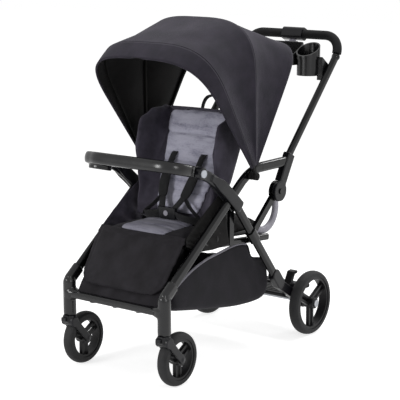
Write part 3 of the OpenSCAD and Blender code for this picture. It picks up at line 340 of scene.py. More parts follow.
floor_mesh = bpy.data.meshes.new("studio_floor")
floor_corners = [(x * FLOOR_HALF, y * FLOOR_HALF, FLOOR_Z) for x, y in ((-1, -1), (1, -1), (1, 1), (-1, 1))]
floor_mesh.from_pydata(floor_corners, [], [(0, 1, 2, 3)])
floor_mesh.materials.append(paper_floor())
floor = bpy.data.objects.new("studio_floor", floor_mesh)
scene.collection.objects.link(floor)
print("floor", 2 * FLOOR_HALF, "m wide")

# %% [markdown]
# ## Light
# The studio has large soft boxes and white walls. The lamps are wide areas at a plain level, so a colour
# renders about as it is written. The walls are a white sky, dimmer as a lamp than as it is seen.

# %% Light
world = bpy.data.worlds.new("studio")
scene.world = world
world.use_nodes = True
sky = world.node_tree
sky.nodes.clear()
level = add(sky, "ShaderNodeMapRange", {"Value": seen(sky), "To Min": 0.5, "To Max": 1.0})
glow = add(sky, "ShaderNodeBackground", {"Color": colour("#ffffff"), "Strength": level.outputs["Result"]})
add(sky, "ShaderNodeOutputWorld", {"Surface": glow.outputs[0]})

# Each soft box: its name, its place, the point it faces, its width in metres and its power in watts.
SOFT_BOXES = [
    ("key", (-0.9, -3.3, 1.35), (0, -0.1, 0.7), 0.9, 46),
    ("fill", (3.0, -1.3, 1.6), (0, 0, 0.6), 0.8, 18),
    ("top", (0.1, 0.9, 3.4), (0, 0, 0.9), 1.2, 54),
    ("rim", (1.2, 3.0, 2.2), (0, 0, 0.7), 0.8, 28),
]
for name, place, aim, size, watts in SOFT_BOXES:
    lamp = bpy.data.lights.new("soft_box_" + name, "AREA")
    lamp.size = size
    lamp.energy = watts
    box = bpy.data.objects.new("soft_box_" + name, lamp)
    scene.collection.objects.link(box)
    box.location = place
    box.rotation_mode = "QUATERNION"
    box.rotation_quaternion = (Vector(aim) - Vector(place)).to_track_quat("-Z", "Y")
print("lit with", len(SOFT_BOXES), "soft boxes")

# %% [markdown]
# ## Cloth sheets
# Cloth is made as grids of points, because a grid bends, gets a thickness and carries real-size UVs
# for its weave. One function turns points and faces into an object, and one makes a sheet with two faces
# and a rim. The flat size that the sheet was cut to is measured along its own lines.

# %% Objects and cloth sheets
def make_object(name, verts, faces, *mats, uvs=None):
    mesh = bpy.data.meshes.new(name)
    mesh.from_pydata([tuple(v) for v in verts], [], faces)
    for mat in mats:
        mesh.materials.append(mat)
    mesh.polygons.foreach_set("use_smooth", [True] * len(faces))
    if uvs is not None:
        layer = mesh.uv_layers.new(name="cloth").data
        for loop in mesh.loops:
            layer[loop.index].uv = uvs[loop.vertex_index]
    piece = bpy.data.objects.new(name, mesh)
    scene.collection.objects.link(piece)
    return piece


def grid_faces(rows, cols, start=0, flip=False):
    faces = []
    for i in range(rows - 1):
        for j in range(cols - 1):
            a = start + i * cols + j
            quad = (a, a + 1, a + cols + 1, a + cols)
            faces.append(quad[::-1] if flip else quad)
    return faces


def grid_points(rows, cols, place):
    return [Vector(place(i / (rows - 1), j / (cols - 1))) for i in range(rows) for j in range(cols)]


def grid_normals(points, rows, cols):
    p = np.array(points).reshape(rows, cols, 3)
    n = np.cross(np.gradient(p, axis=1), np.gradient(p, axis=0))
    n /= np.maximum(np.linalg.norm(n, axis=2, keepdims=True), 1e-9)
    return n.reshape(-1, 3)


def cloth_sheet(name, rows, cols, place, thick, first, second):
    """A sheet with two faces and a rim: place(s, t) gives the first face, the second lies thick behind it."""
    front = np.array(grid_points(rows, cols, place))
    back = front - thick * grid_normals(front, rows, cols)
    count = rows * cols
    faces = grid_faces(rows, cols, flip=True) + grid_faces(rows, cols, start=count)
    rim = list(range(cols)) + [i * cols + cols - 1 for i in range(1, rows)]
    rim += [(rows - 1) * cols + j for j in range(cols - 2, -1, -1)]
    rim += [i * cols for i in range(rows - 2, 0, -1)]
    faces += [(a, b, b + count, a + count) for a, b in zip(rim, rim[1:] + rim[:1])]
    p = front.reshape(rows, cols, 3)
    across = np.linalg.norm(np.diff(p, axis=1), axis=2).mean(0)
    down = np.linalg.norm(np.diff(p, axis=0), axis=2).mean(1)
    u = np.concatenate([[0], np.cumsum(across)])
    v = np.concatenate([[0], np.cumsum(down)])
    uvs = [(u[j], v[i]) for i in range(rows) for j in range(cols)] * 2
    piece = make_object(name, np.vstack([front, back]), faces, first, second, uvs=uvs)
    lined = len(grid_faces(rows, cols))
    for k, face in enumerate(piece.data.polygons):
        face.material_index = 1 if lined <= k < 2 * lined else 0
    piece["area"] = sum(face.area for face in piece.data.polygons[:lined])
    piece["cut"] = (float(u[-1]), float(v[-1]))
    return piece


def declare_cloth(piece, rests_on):
    """Prints what it was cut to: its arc lengths, or more where the cut tapers."""
    width, length = piece["cut"]
    area = piece["area"]
    grow = max(1.0, math.sqrt(area / (width * length)))
    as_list(rests_on)
    print(piece.name, "flat", round(width * grow, 3), "x", round(length * grow, 3), "area", round(area, 3))

# %% [markdown]
# ## Canopy
# The canopy is three bows with black polyester stretched over them, all turning about one pivot at each
# side. It could be draped by simulation, but stretched cloth is settled by its bows: each crosswise line is
# the bow's own curve, and between two bows the cloth draws in a little. So the panels are computed as
# sheets of angle and width, with the draw-in and a few strain ripples added.

# %% Canopy shape
def along_stops(value, stops):
    """A smooth value between (place, value) stops."""
    for (a, va), (b, vb) in zip(stops, stops[1:]):
        if value <= b:
            t = min(1.0, max(0.0, (value - a) / (b - a)))
            return va + (vb - va) * t * t * (3 - 2 * t)
    return stops[-1][1]


CANOPY_Y, CANOPY_Z = -0.05947, 0.64054
CANOPY_HALF_W = 0.226
CANOPY_R, SHOULDER_R, FOOT_R = 0.512, 0.290, 0.040
SQUARE_FRONT, SQUARE_REAR = 3.4, 4.8
REAR_BOW, MIDDLE_BOW, FRONT_BOW, VISOR_END = 57.0, 91.0, 121.0, 129.0
FOOT_SHARE = 0.16


def canopy_point(angle, t, out=0.0):
    """A point of the canopy: angle in degrees from straight back, t from the left foot to the right one."""
    if t < FOOT_SHARE or t > 1 - FOOT_SHARE:
        climb = (t if t < 0.5 else 1 - t) / FOOT_SHARE
        radius = FOOT_R + (SHOULDER_R - FOOT_R) * climb
        x = (CANOPY_HALF_W + out) * (-1 if t < 0.5 else 1)
    else:
        turn = math.pi * (1 - (t - FOOT_SHARE) / (1 - 2 * FOOT_SHARE))
        power = 2 / along_stops(angle, [(REAR_BOW, SQUARE_REAR), (MIDDLE_BOW, SQUARE_FRONT)])
        x = (CANOPY_HALF_W + out) * math.copysign(abs(math.cos(turn)) ** power, math.cos(turn))
        radius = SHOULDER_R + (CANOPY_R + out - SHOULDER_R) * abs(math.sin(turn)) ** power
    a = math.radians(angle)
    return Vector((x, CANOPY_Y + radius * math.cos(a), CANOPY_Z + radius * math.sin(a)))


print("canopy top at", round(canopy_point(90, 0.5).z, 3), "m")

# %% [markdown]
# Two panels span the three bows, and a short visor stands out past the front one; the visor rides on the
# front bow's body.

# %% Canopy cloth
def ripple(point, size_mm, seed=0.0):
    """Soft noise between -1 and 1, with lumps of about size_mm."""
    return noise.noise(Vector(point) * per_mm(size_mm) + Vector((seed, 3 * seed, 7 * seed)))


def canopy_panel(start, end, out_start, out_end, draw_in, seed):
    def place(s, t):
        angle = start + (end - start) * s
        slack = 4 * s * (1 - s)
        reach = math.sin(math.pi * t) ** 0.5 if 0 < t < 1 else 0.0
        out = out_start + (out_end - out_start) * s - draw_in * slack * reach
        point = canopy_point(angle, t, out)
        strain = 0.0016 * slack * math.sin(9 * math.pi * t + 5 * s + seed)
        return canopy_point(angle, t, out + strain + 0.0022 * slack * ripple(point, 90, seed))
    return place


# The grid's first face looks inwards here, so the lining comes before the outer cloth.
CLOTH_T = 0.0024
PANEL_ROWS, VISOR_ROWS, CANOPY_COLS = 41, 13, 121
REAR_OUT, MIDDLE_OUT, FRONT_OUT, VISOR_DROP = 0.003, 0.0135, 0.020, 0.004
PANELS = [
    ("canopy_rear_cloth", REAR_BOW, MIDDLE_BOW, (REAR_OUT, MIDDLE_OUT), 0.025,
     ("frame", "canopy_middle"), ["canopy_rear_bow", "canopy_middle_bow"]),
    ("canopy_front_cloth", MIDDLE_BOW, FRONT_BOW, (MIDDLE_OUT, FRONT_OUT), 0.019,
     ("canopy_middle", "canopy_front"), ["canopy_middle_bow", "canopy_front_bow"]),
]
for name, start, end, outs, draw_in, ends, bows in PANELS:
    place = canopy_panel(start, end, *outs, draw_in, start)
    panel = cloth_sheet(name, PANEL_ROWS, CANOPY_COLS, place, CLOTH_T, lining, canopy_cloth)
    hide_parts(name.replace("cloth", "panel"))
    declare_cloth(panel, bows)
    middle = math.radians((start + end) / 2)
    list(ends)
    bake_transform(panel)


def visor_place(s, t):
    return canopy_point(FRONT_BOW + (VISOR_END - FRONT_BOW) * s, t, FRONT_OUT - VISOR_DROP * s)


visor = cloth_sheet("canopy_visor_cloth", VISOR_ROWS, CANOPY_COLS, visor_place, CLOTH_T, lining, canopy_cloth)
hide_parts("canopy_visor")
declare_cloth(visor, ["canopy_front_bow"])
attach(visor, "canopy_front")
print("canopy of", len(PANELS) + 1, "sheets")

# %% [markdown]
# The edges of the canopy are bound with a folded tape, and a flat seam lies over the middle bow and the front
# one. All are narrow bands, which catch the light as the real bound edge does. A band could be a curve object
# with a bevel; a section that is swept along a path here also gets real-size UVs for its weave.

# %% Canopy edges
def tube_faces(count, ring):
    """Faces of a tube of count rings, with both ends closed."""
    faces = [(k * ring + q, k * ring + (q + 1) % ring, (k + 1) * ring + (q + 1) % ring, (k + 1) * ring + q)
             for k in range(count - 1) for q in range(ring)]
    return faces + [tuple(range(ring))[::-1], tuple(range((count - 1) * ring, count * ring))]


def sweep(name, path, section, mat, side=(1, 0, 0), sizes=None):
    """Carries a closed section of (sideways, outward) points along a path."""
    path = [Vector(p) for p in path]
    count, ring = len(path), len(section)
    verts, uvs, run = [], [], 0.0
    for k, point in enumerate(path):
        ahead = (path[min(k + 1, count - 1)] - path[max(k - 1, 0)]).normalized()
        across = Vector(side)
        across = (across - ahead * across.dot(ahead)).normalized()
        out = across.cross(ahead)
        size = sizes[k] if sizes else 1.0
        run += (point - path[k - 1]).length if k else 0.0
        turn = 0.0
        for q, (a, b) in enumerate(section):
            verts.append(point + across * a * size + out * b * size)
            turn += math.dist(section[q], section[q - 1]) if q else 0.0
            uvs.append((turn, run))
    return make_object(name, verts, tube_faces(count, ring), mat, uvs=uvs)


def round_section(radius, count=10):
    return [(radius * math.cos(2 * math.pi * k / count), radius * math.sin(2 * math.pi * k / count))
            for k in range(count)]


EDGE_STEPS = 140
EDGES = [
    ("canopy_front_binding", VISOR_END - 0.2, 0.0152, 0.0036, "canopy_front"),
    ("canopy_front_seam", FRONT_BOW, 0.0206, 0.0018, "canopy_front"),
    ("canopy_middle_seam", MIDDLE_BOW, 0.0141, 0.0018, "canopy_middle"),
    ("canopy_rear_binding", REAR_BOW, 0.0022, 0.0032, "frame"),
]
for name, angle, out, radius, body in EDGES:
    line = [canopy_point(angle, k / EDGE_STEPS, out) for k in range(EDGE_STEPS + 1)]
    band = sweep(name, line, round_section(radius, 8), canopy_cloth)
    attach(band, body)
print("bound the canopy's edges")

# %% [markdown]
# ## Pads
# A pad is foam in a sewn cover. The recipe: a pillow of two grids, remeshed to even squares, blown up a
# little by Blender's cloth solver with its seams held, so the cover swells between the seams as a stuffed one
# does.

# %% Pillows
def settle(piece):
    """Replaces a piece's mesh by what its modifiers make of it."""
    scene.view_layers[0].update()
    graph = bpy.context.evaluated_depsgraph_get()
    done = bpy.data.meshes.new_from_object(piece.evaluated_get(graph))
    piece.modifiers.clear()
    old = piece.data
    piece.data = done
    done.name = piece.name
    bpy.data.meshes.remove(old)
    done.polygons.foreach_set("use_smooth", [True] * len(done.polygons))


def even_out(piece, voxel):
    """Fuses a piece and lays even squares over it."""
    remesh = piece.modifiers.new("even", "REMESH")
    remesh.mode = "VOXEL"
    remesh.voxel_size = voxel
    settle(piece)


def always(value):
    """A width or thickness that is the same everywhere."""
    def same(*_):
        return value
    return same


def crowned(edge, rise):
    """A thickness that grows from the sides to the middle."""
    def thickness(tx, v):
        return edge + rise * (1 - tx * tx)
    return thickness


PAD_VOXEL = 0.005


def pillow(name, place, half_width, low, high, top, bottom, mat, corner, voxel=PAD_VOXEL, count=44):
    """A closed pad: place(x, v, n) sets points; top and bottom give its thickness from -1 to 1 in x and v."""
    ticks = [math.sin(math.pi / 2 * (2 * k / (count - 1) - 1)) for k in range(count)]
    layers = []
    for sign in (1, -1):
        for tv in ticks:
            v = low + (high - low) * (tv + 1) / 2
            width = half_width(v)
            if corner:
                width *= max(0.0, 1 - abs(tv) ** corner) ** (1 / corner)
            for tx in ticks:
                edge = max(0.0, (1 - abs(tx) ** 6) * (1 - abs(tv) ** 6)) ** 0.5
                depth = top(tx, v) if sign > 0 else -bottom(tx, v)
                layers.append(place(width * tx, v, depth * edge))
    faces = grid_faces(count, count) + grid_faces(count, count, start=count * count, flip=True)
    piece = make_object(name, layers, faces, mat)
    work = bmesh.new()
    work.from_mesh(piece.data)
    bmesh.ops.remove_doubles(work, verts=work.verts, dist=1e-5)
    bmesh.ops.recalc_face_normals(work, faces=work.faces)
    work.to_mesh(piece.data)
    work.free()
    even_out(piece, voxel)
    return piece

# %% [markdown]
# The cloth solver pushes the cover out from inside, and a cap keeps it from ballooning. Stitched lines are
# pressed in afterwards, and a little smoothing takes the squares off.

# %% Swelling and stitching
def points_of(mesh):
    flat = np.empty(len(mesh.vertices) * 3)
    mesh.vertices.foreach_get("co", flat)
    return flat.reshape(-1, 3)


def set_points(piece, points):
    piece.data.vertices.foreach_set("co", np.asarray(points, float).ravel())
    piece.data.update()


def blow_up(piece, grip, cap, pressure=4.0, frames=20):
    """Swells a pad with the cloth solver. grip holds each point, from 0 for free to 1 for sewn down."""
    rest = points_of(piece.data)
    sewn = piece.vertex_groups.new(name="sewn")
    for k in np.nonzero(grip > 0.02)[0]:
        sewn.add([int(k)], float(min(1.0, grip[k])), "REPLACE")
    solver = piece.modifiers.new("swell", "CLOTH")
    solver.settings.vertex_group_mass = "sewn"
    solver.settings.use_pressure = True
    solver.settings.uniform_pressure_force = pressure
    solver.settings.effector_weights.gravity = 0.0
    solver.settings.quality = 4
    solver.point_cache.frame_start = 1
    solver.point_cache.frame_end = frames
    for step in range(1, frames + 1):
        scene.frame_set(step)
    graph = bpy.context.evaluated_depsgraph_get()
    push = points_of(piece.evaluated_get(graph).to_mesh()) - rest
    length = np.linalg.norm(push, axis=1, keepdims=True)
    push *= np.minimum(1.0, cap / np.maximum(length, 1e-9))
    piece.modifiers.clear()
    piece.vertex_groups.clear()
    scene.frame_set(1)
    set_points(piece, rest + push)
    print(piece.name, "swelled by at most", round(float(np.linalg.norm(push, axis=1).max()) / MM, 1), "mm")


def soften(piece, turns):
    smooth = piece.modifiers.new("soften", "SMOOTH")
    smooth.iterations = turns
    smooth.factor = 0.5
    settle(piece)


def carve(piece, depth):
    """Presses seams into a pad along its normals, by a depth for each point."""
    normals = np.array([v.normal for v in piece.data.vertices])
    set_points(piece, points_of(piece.data) - normals * depth[:, None])


print("solver", "on")

# %% [markdown]
# A remeshed piece has lost its UVs, so each face gets them from the axis that it looks along.

# %% Finishing a pad
def box_uvs(piece):
    """Real-size UVs for a remeshed piece, from the axis that each face looks along."""
    layer = piece.data.uv_layers.new(name="cloth").data
    verts = piece.data.vertices
    for face in piece.data.polygons:
        n = [abs(c) for c in face.normal]
        axis = n.index(max(n))
        u, v = [(1, 2), (0, 2), (0, 1)][axis]
        for loop in face.loop_indices:
            co = verts[piece.data.loops[loop].vertex_index].co
            layer[loop].uv = (co[u], co[v])


def finish_pad(piece, slot, fill, body, *replaced):
    box_uvs(piece)
    if replaced:
        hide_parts(*replaced)
    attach(piece, body)
    print(piece.name, len(piece.data.polygons), "faces")

# %% [markdown]
# ## Backrest cover
# The backrest is a black quilted shell with tall wings beside the head, and a grey insert that narrows
# towards the seat. The shell is lofted from cross-sections up the board, remeshed and softened, so that
# the wings grow out of the back in one piece of cloth.

# %% Backrest shell
LEAN = math.radians(26)
HINGE = Vector((0, -0.192, 0.450))
UP = Vector((0, math.sin(LEAN), math.cos(LEAN)))
FORWARD = Vector((0, -math.cos(LEAN), math.sin(LEAN)))


def on_back(x, up, forward):
    return HINGE + Vector((x, 0, 0)) + UP * up + FORWARD * forward


def insert_half_width(up):
    return along_stops(up, [(0.04, 0.094), (0.24, 0.120), (0.43, 0.150)])


# How far the wings reach forward, by the height up the back.
WING_REACH = [(0.03, 0.040), (0.10, 0.062), (0.17, 0.092), (0.255, 0.138), (0.335, 0.152), (0.385, 0.112),
              (0.43, 0.040)]


def shell_section(up):
    reach = along_stops(up, WING_REACH)
    edge = insert_half_width(up)
    half = [(0.0, 0.016), (edge * 0.6, 0.016), (edge, 0.018), (0.5 * edge + 0.075, 0.026),
            (0.150, 0.040 if reach > 0.05 else 0.030), (0.157, 0.55 * reach + 0.012), (0.160, reach - 0.010),
            (0.166, reach), (0.173, reach - 0.006), (0.177, 0.6 * reach), (0.176, 0.012), (0.168, -0.010),
            (0.10, -0.014), (0.0, -0.015)]
    # The foot is narrower, so that it clears the struts beside it as the back reclines.
    narrow = along_stops(up, [(0.13, 0.935), (0.20, 1.0)])
    half = [(x * narrow, f) for x, f in half]
    return half + [(-x, f) for x, f in half[-2:0:-1]]


SHELL_LOW, SHELL_HIGH, SHELL_RINGS = 0.028, 0.430, 34
shell_points = [on_back(x, up, f) for up in np.linspace(SHELL_LOW, SHELL_HIGH, SHELL_RINGS)
                for x, f in shell_section(up)]
shell_faces = tube_faces(SHELL_RINGS, len(shell_points) // SHELL_RINGS)
shell = make_object("backrest_cover", shell_points, shell_faces, polyester)
even_out(shell, PAD_VOXEL)
soften(shell, 8)
finish_pad(shell, "black_cloth", 0.5, "backrest", "side_wings")

# %% [markdown]
# The grey insert is a padded knit panel, crowned, with three stitched channels across it. It is a pillow that
# swells between them, because the foam of the real one does.

# %% Backrest insert
CHANNELS = [0.13, 0.235, 0.335]
CHANNEL_W, CHANNEL_DEPTH = 0.006, 0.005
INSERT_LOW, INSERT_HIGH, INSERT_BASE = 0.052, 0.424, 0.020


def insert_place(x, up, n):
    return on_back(x, up, INSERT_BASE + n)


def up_of(points):
    return (points - np.array(HINGE)) @ np.array(UP)


def forward_of(points):
    return (points - np.array(HINGE)) @ np.array(FORWARD)


def near_channels(points, width):
    up = up_of(points)
    gap = np.min([np.abs(up - c) for c in CHANNELS], axis=0)
    return np.exp(-(gap / width) ** 2) * (forward_of(points) > 0.018)


insert = pillow("backrest_insert", insert_place, insert_half_width, INSERT_LOW, INSERT_HIGH,
                crowned(0.014, 0.006), always(0.002), heather, corner=14.0)
points = points_of(insert.data)
sewn_down = forward_of(points) < INSERT_BASE + 0.002
blow_up(insert, np.maximum(near_channels(points, CHANNEL_W), sewn_down), cap=0.007)
carve(insert, CHANNEL_DEPTH * near_channels(points_of(insert.data), CHANNEL_W + 0.001))
soften(insert, 2)
finish_pad(insert, "grey_cloth", 0.6, "backrest", "backrest_pad")

# %% [markdown]
# A dark binding runs over the insert's top edge and bows back towards the wings; its section is a flat oval.
# Above it stands a loop of webbing, which is a flat strap swept along a smooth path.

# %% Backrest binding and loop
def strap_section(width, thick, corner=0.0008):
    x, y = width / 2, thick / 2
    return [(-x, -y + corner), (-x + corner, -y), (x - corner, -y), (x, -y + corner),
            (x, y - corner), (x - corner, y), (-x + corner, y), (-x, y - corner)]


def curve_through(points, steps=8):
    """A smooth path through a few points."""
    p = [Vector(q) for q in points]
    p = [2 * p[0] - p[1]] + p + [2 * p[-1] - p[-2]]
    path = []
    for k in range(1, len(p) - 2):
        for step in range(steps):
            t = step / steps
            path.append(0.5 * (2 * p[k] + (p[k + 1] - p[k - 1]) * t
                               + (2 * p[k - 1] - 5 * p[k] + 4 * p[k + 1] - p[k + 2]) * t * t
                               + (3 * p[k] - p[k - 1] - 3 * p[k + 1] + p[k + 2]) * t ** 3))
    return path + [p[-2]]


BINDING_HALF_W, BINDING_OUT, BINDING_BOW = 0.15, 0.028, 0.36
top_edge = [on_back(x, INSERT_HIGH + 0.003, BINDING_OUT - BINDING_BOW * x * x)
            for x in np.linspace(-BINDING_HALF_W, BINDING_HALF_W, 31)]
binding_section = [(a * 0.004, b * 0.009) for a, b in round_section(1.0)]
binding = sweep("backrest_top_binding", top_edge, binding_section, polyester, side=tuple(UP))
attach(binding, "backrest")

LOOP_HALF = [(0.026, 0.415, 0.004), (0.028, 0.455, 0.006), (0.020, 0.478, 0.006)]
loop_path = [on_back(-x, up, out) for x, up, out in LOOP_HALF] + [on_back(0.0, 0.486, 0.006)]
loop_path += [on_back(x, up, out) for x, up, out in LOOP_HALF[::-1]]
loop = sweep("backrest_strap_loop", curve_through(loop_path), strap_section(0.018, 0.0025), webbing,
             side=tuple(FORWARD))
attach(loop, "backrest")
print("loop of", len(loop_path), "points")

# %% [markdown]
# ## Seat
# The seat is a black cover over foam on the pan. It is a pillow whose front rolls over the edge of the pan.
# The roll is drawn into its shape, so the solver is not needed.

# %% Seat cover
SEAT_Z, SEAT_FRONT, SEAT_REAR, SEAT_HALF_W = 0.4535, -0.386, -0.198, 0.163
ROLL_START, ROLL_LENGTH, ROLL_DROP = -0.352, 0.034, 0.022


def seat_drop(y):
    """How far the seat rolls down at its front edge."""
    return ROLL_DROP * max(0.0, (ROLL_START - y) / ROLL_LENGTH) ** 2


def seat_place(x, y, n):
    return Vector((x, y, SEAT_Z - seat_drop(y) * (n > 0.003) + n))


seat_cover = pillow("seat_cover", seat_place, always(SEAT_HALF_W), SEAT_FRONT, SEAT_REAR,
                    crowned(0.026, 0.004), always(0.0005), cover_cloth_painted_shade, corner=10.0)
soften(seat_cover, 3)
finish_pad(seat_cover, "black_cloth", 0.6, "frame", "seat_cushion")

# %% [markdown]
# A narrower grey insert lies on the seat and is stitched across in two places. It swells between them, as the
# back's insert does.

# %% Seat insert
SEAT_CHANNELS = [-0.328, -0.262]
KNIT_Z, KNIT_FRONT, KNIT_REAR, KNIT_HALF_W = 0.4795, -0.381, -0.208, 0.098


def near_seat_channels(points):
    gap = np.min([np.abs(points[:, 1] - c) for c in SEAT_CHANNELS], axis=0)
    return np.exp(-(gap / CHANNEL_W) ** 2) * (points[:, 2] > KNIT_Z + 0.0025)


def knit_place(x, y, n):
    return Vector((x, y, KNIT_Z - 0.9 * seat_drop(y) + n))


# The seat's insert takes the darker copy of the knit: painted shade from the tray above it.
seat_insert = pillow("seat_insert", knit_place, always(KNIT_HALF_W), KNIT_FRONT, KNIT_REAR,
                     crowned(0.010, 0.003), always(0.003), heather_painted_shade, corner=9.0, voxel=0.004)
points = points_of(seat_insert.data)
blow_up(seat_insert, np.maximum(near_seat_channels(points), points[:, 2] < KNIT_Z - 0.0005), cap=0.006)
carve(seat_insert, 0.004 * near_seat_channels(points_of(seat_insert.data)))
soften(seat_insert, 2)
finish_pad(seat_insert, "grey_cloth", 0.55, "frame")

# %% [markdown]
# ## Calf panel
# The calf panel hangs from the front of the seat to the footrest. It is a long pad with rounded lower
# corners, and a stitched line follows its edge. It is a pillow as wide as the panel at each height.

# %% Calf panel
CALF_TOP = Vector((0, -0.376, 0.466))
CALF_FOOT = Vector((0, -0.499, 0.300))
CALF_LEN = (CALF_FOOT - CALF_TOP).length
CALF_CORNER_R = 0.055
calf_down = (CALF_FOOT - CALF_TOP).normalized()
calf_out = Vector((0, calf_down.z, -calf_down.y))


def calf_place(x, down, out):
    return CALF_TOP + Vector((x, 0, 0)) + calf_down * down + calf_out * out


def calf_half_width(down):
    square = along_stops(down, [(0.0, 0.186), (0.12, 0.180), (CALF_LEN, 0.174)])
    round_off = max(0.0, (down - (CALF_LEN - CALF_CORNER_R)) / CALF_CORNER_R)
    return square - CALF_CORNER_R * (1 - math.sqrt(max(0.0, 1 - round_off ** 2)))


SEAM_INSET, SEAM_W, SEAM_DEPTH = 0.016, 0.004, 0.0025


def near_calf_seam(points):
    downs = (points - np.array(CALF_TOP)) @ np.array(calf_down)
    seam = np.array([calf_half_width(float(down)) - SEAM_INSET for down in downs])
    return np.exp(-((np.abs(points[:, 0]) - seam) / SEAM_W) ** 2)


calf = pillow("calf_panel_pad", calf_place, calf_half_width, -0.012, CALF_LEN,
              crowned(0.010, 0.005), always(0.006), cover_cloth_painted_shade, corner=0.0)
outs = (points_of(calf.data) - np.array(CALF_TOP)) @ np.array(calf_out)
blow_up(calf, (outs < 0.002) * 1.0, cap=0.006)
carve(calf, SEAM_DEPTH * near_calf_seam(points_of(calf.data)))
soften(calf, 2)
finish_pad(calf, "black_cloth", 0.5, "frame", "calf_panel")

# %% [markdown]
# A flat flap of the same cloth hangs behind the calf panel. It is a single sheet, hung and not stretched, so
# it gets soft noise and a few slow waves.

# %% Calf flap
FLAP_HALF_W, FLAP_LEN, FLAP_OVERLAP = 0.168, 0.108, 0.075


def flap_place(s, t):
    x = FLAP_HALF_W * (2 * t - 1)
    down = CALF_LEN - FLAP_OVERLAP + FLAP_LEN * s
    point = calf_place(x, down, -0.010)
    return point + calf_out * (0.004 * ripple(point, 60, 4.0) + 0.002 * math.sin(5 * math.pi * t + 2 * s))


flap = cloth_sheet("calf_panel_flap", 16, 60, flap_place, 0.0016, cover_cloth_painted_shade, cover_cloth_painted_shade)
declare_cloth(flap, ["calf_panel_pad"])
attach(flap, "frame")
print("calf panel", round(CALF_LEN, 3), "m long")

# %% [markdown]
# ## Side gussets
# Loose cloth closes the gap between the seat, the wing and the front leg on each side, and hangs over the
# rail. It is not stretched, so it wrinkles: the folds run from the corners where it is sewn. A sheet with
# a few long folds and noise shows that better than a flat panel.

# %% Side gussets
GUSSET_EDGE_LOW = [(-0.375, 0.448), (-0.30, 0.417), (-0.230, 0.411), (-0.138, 0.413)]
GUSSET_EDGE_HIGH = [(-0.368, 0.470), (-0.312, 0.512), (-0.245, 0.556), (-0.166, 0.600)]
GUSSET_X, GUSSET_LEAN, GUSSET_SAG = 0.1872, 0.007, 0.002
SIDES = ((1, "right"), (-1, "left"))


def along_edge(edge, t):
    path = t * (len(edge) - 1)
    k = min(int(path), len(edge) - 2)
    return Vector(edge[k]).lerp(Vector(edge[k + 1]), path - k)


for side, word in SIDES:
    def gusset_place(s, t, side=side):
        low, high = along_edge(GUSSET_EDGE_LOW, t), along_edge(GUSSET_EDGE_HIGH, t)
        y, z = low.lerp(high, s)
        free = math.sin(math.pi * s) * math.sin(math.pi * t) ** 0.5
        fold = 0.004 * math.sin(34 * (0.8 * t + 0.5 * s)) + 0.006 * ripple((side, y, z), 45, 2.0)
        x = GUSSET_X - GUSSET_LEAN * s + free * (fold - GUSSET_SAG)
        return Vector((side * x, y, z))
    # The same grid on both sides: its first face looks out on the right and in on the left. The outer face is
    # the dark lining, painted shade on the right gusset's outer face, and the inner face is the lighter
    # cloth, painted light on the left gusset's inner face, which lies in shade.
    first, second = (lining, polyester)[::side]
    gusset = cloth_sheet("seat_gusset_" + word, 40, 44, gusset_place, 0.0016, first, second)
    if side > 0:
        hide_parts("seat_gussets")
    declare_cloth(gusset, ["seat_rails"])
    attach(gusset, "frame")
print("side gussets made")

# %% [markdown]
# ## Basket
# The basket is a sling of coarse oxford cloth hung from the rails, with a grey piping along its mouth. The
# cloth could be draped, but its outline is sewn: so a belt of cloth runs down the front, along the floor
# and up the rear, the sides rise from it to the rim, and the corners are relaxed until they round off.

# %% Basket outline
BASKET_HALF_W = 0.177
BASKET_RIM = [(-0.4365, 0.305), (-0.415, 0.320), (-0.341, 0.356), (-0.259, 0.380), (-0.176, 0.391),
              (-0.107, 0.399), (-0.052, 0.398), (-0.019, 0.384), (0.002, 0.342), (0.040, 0.330),
              (0.080, 0.321), (0.093, 0.299)]
BASKET_BELT = [(-0.4365, 0.305), (-0.438, 0.268), (-0.430, 0.238), (-0.392, 0.229), (-0.268, 0.205),
               (-0.146, 0.184), (-0.04, 0.168), (0.06, 0.163), (0.104, 0.167), (0.119, 0.190),
               (0.110, 0.240), (0.093, 0.299)]
BASKET_BULGE, BASKET_T = 0.006, 0.0022
SIDE_COLS, FLOOR_COLS = 18, 26


def smooth_edge(edge, count):
    """Points at even steps along a smooth line through the edge's corners."""
    path = curve_through([(0, y, z) for y, z in edge], steps=12)
    run = np.cumsum([0.0] + [(b - a).length for a, b in zip(path, path[1:])])
    return [path[np.argmin(np.abs(run - run[-1] * q / (count - 1)))] for q in range(count)]


BASKET_ROWS = 72
rim_line = smooth_edge(BASKET_RIM, BASKET_ROWS)
belt_line = smooth_edge(BASKET_BELT, BASKET_ROWS)
print("basket rim and belt of", BASKET_ROWS, "points")

# %% [markdown]
# The cloth's points lie in rows across the basket: down one side, over the floor and up the other side. The
# sides bulge a little and the floor sags. Then each point moves towards the middle of its neighbours, a few
# times over, which rounds the corners, and soft noise gives the slack.

# %% Basket points
basket_cols = 2 * SIDE_COLS + FLOOR_COLS
basket_points = np.zeros((BASKET_ROWS, basket_cols, 3))
for q in range(BASKET_ROWS):
    for c in range(basket_cols):
        if c < SIDE_COLS or c >= SIDE_COLS + FLOOR_COLS:
            climb = c / SIDE_COLS if c < SIDE_COLS else (basket_cols - 1 - c) / SIDE_COLS
            point = rim_line[q].lerp(belt_line[q], climb)
            x = BASKET_HALF_W * (-1 if c < SIDE_COLS else 1)
            x += math.copysign(BASKET_BULGE * math.sin(math.pi * climb), x)
        else:
            point = belt_line[q].copy()
            across = (c - SIDE_COLS + 0.5) / FLOOR_COLS * 2 - 1
            x = BASKET_HALF_W * across
            point.z -= BASKET_BULGE * (1 - across ** 2) * math.sin(math.pi * q / (BASKET_ROWS - 1))
        basket_points[q, c] = (x, point.y, point.z)
for _ in range(14):
    around = basket_points[:-2, 1:-1] + basket_points[2:, 1:-1]
    around = around + basket_points[1:-1, :-2] + basket_points[1:-1, 2:]
    basket_points[1:-1, 1:-1] = 0.5 * basket_points[1:-1, 1:-1] + 0.5 * around / 4
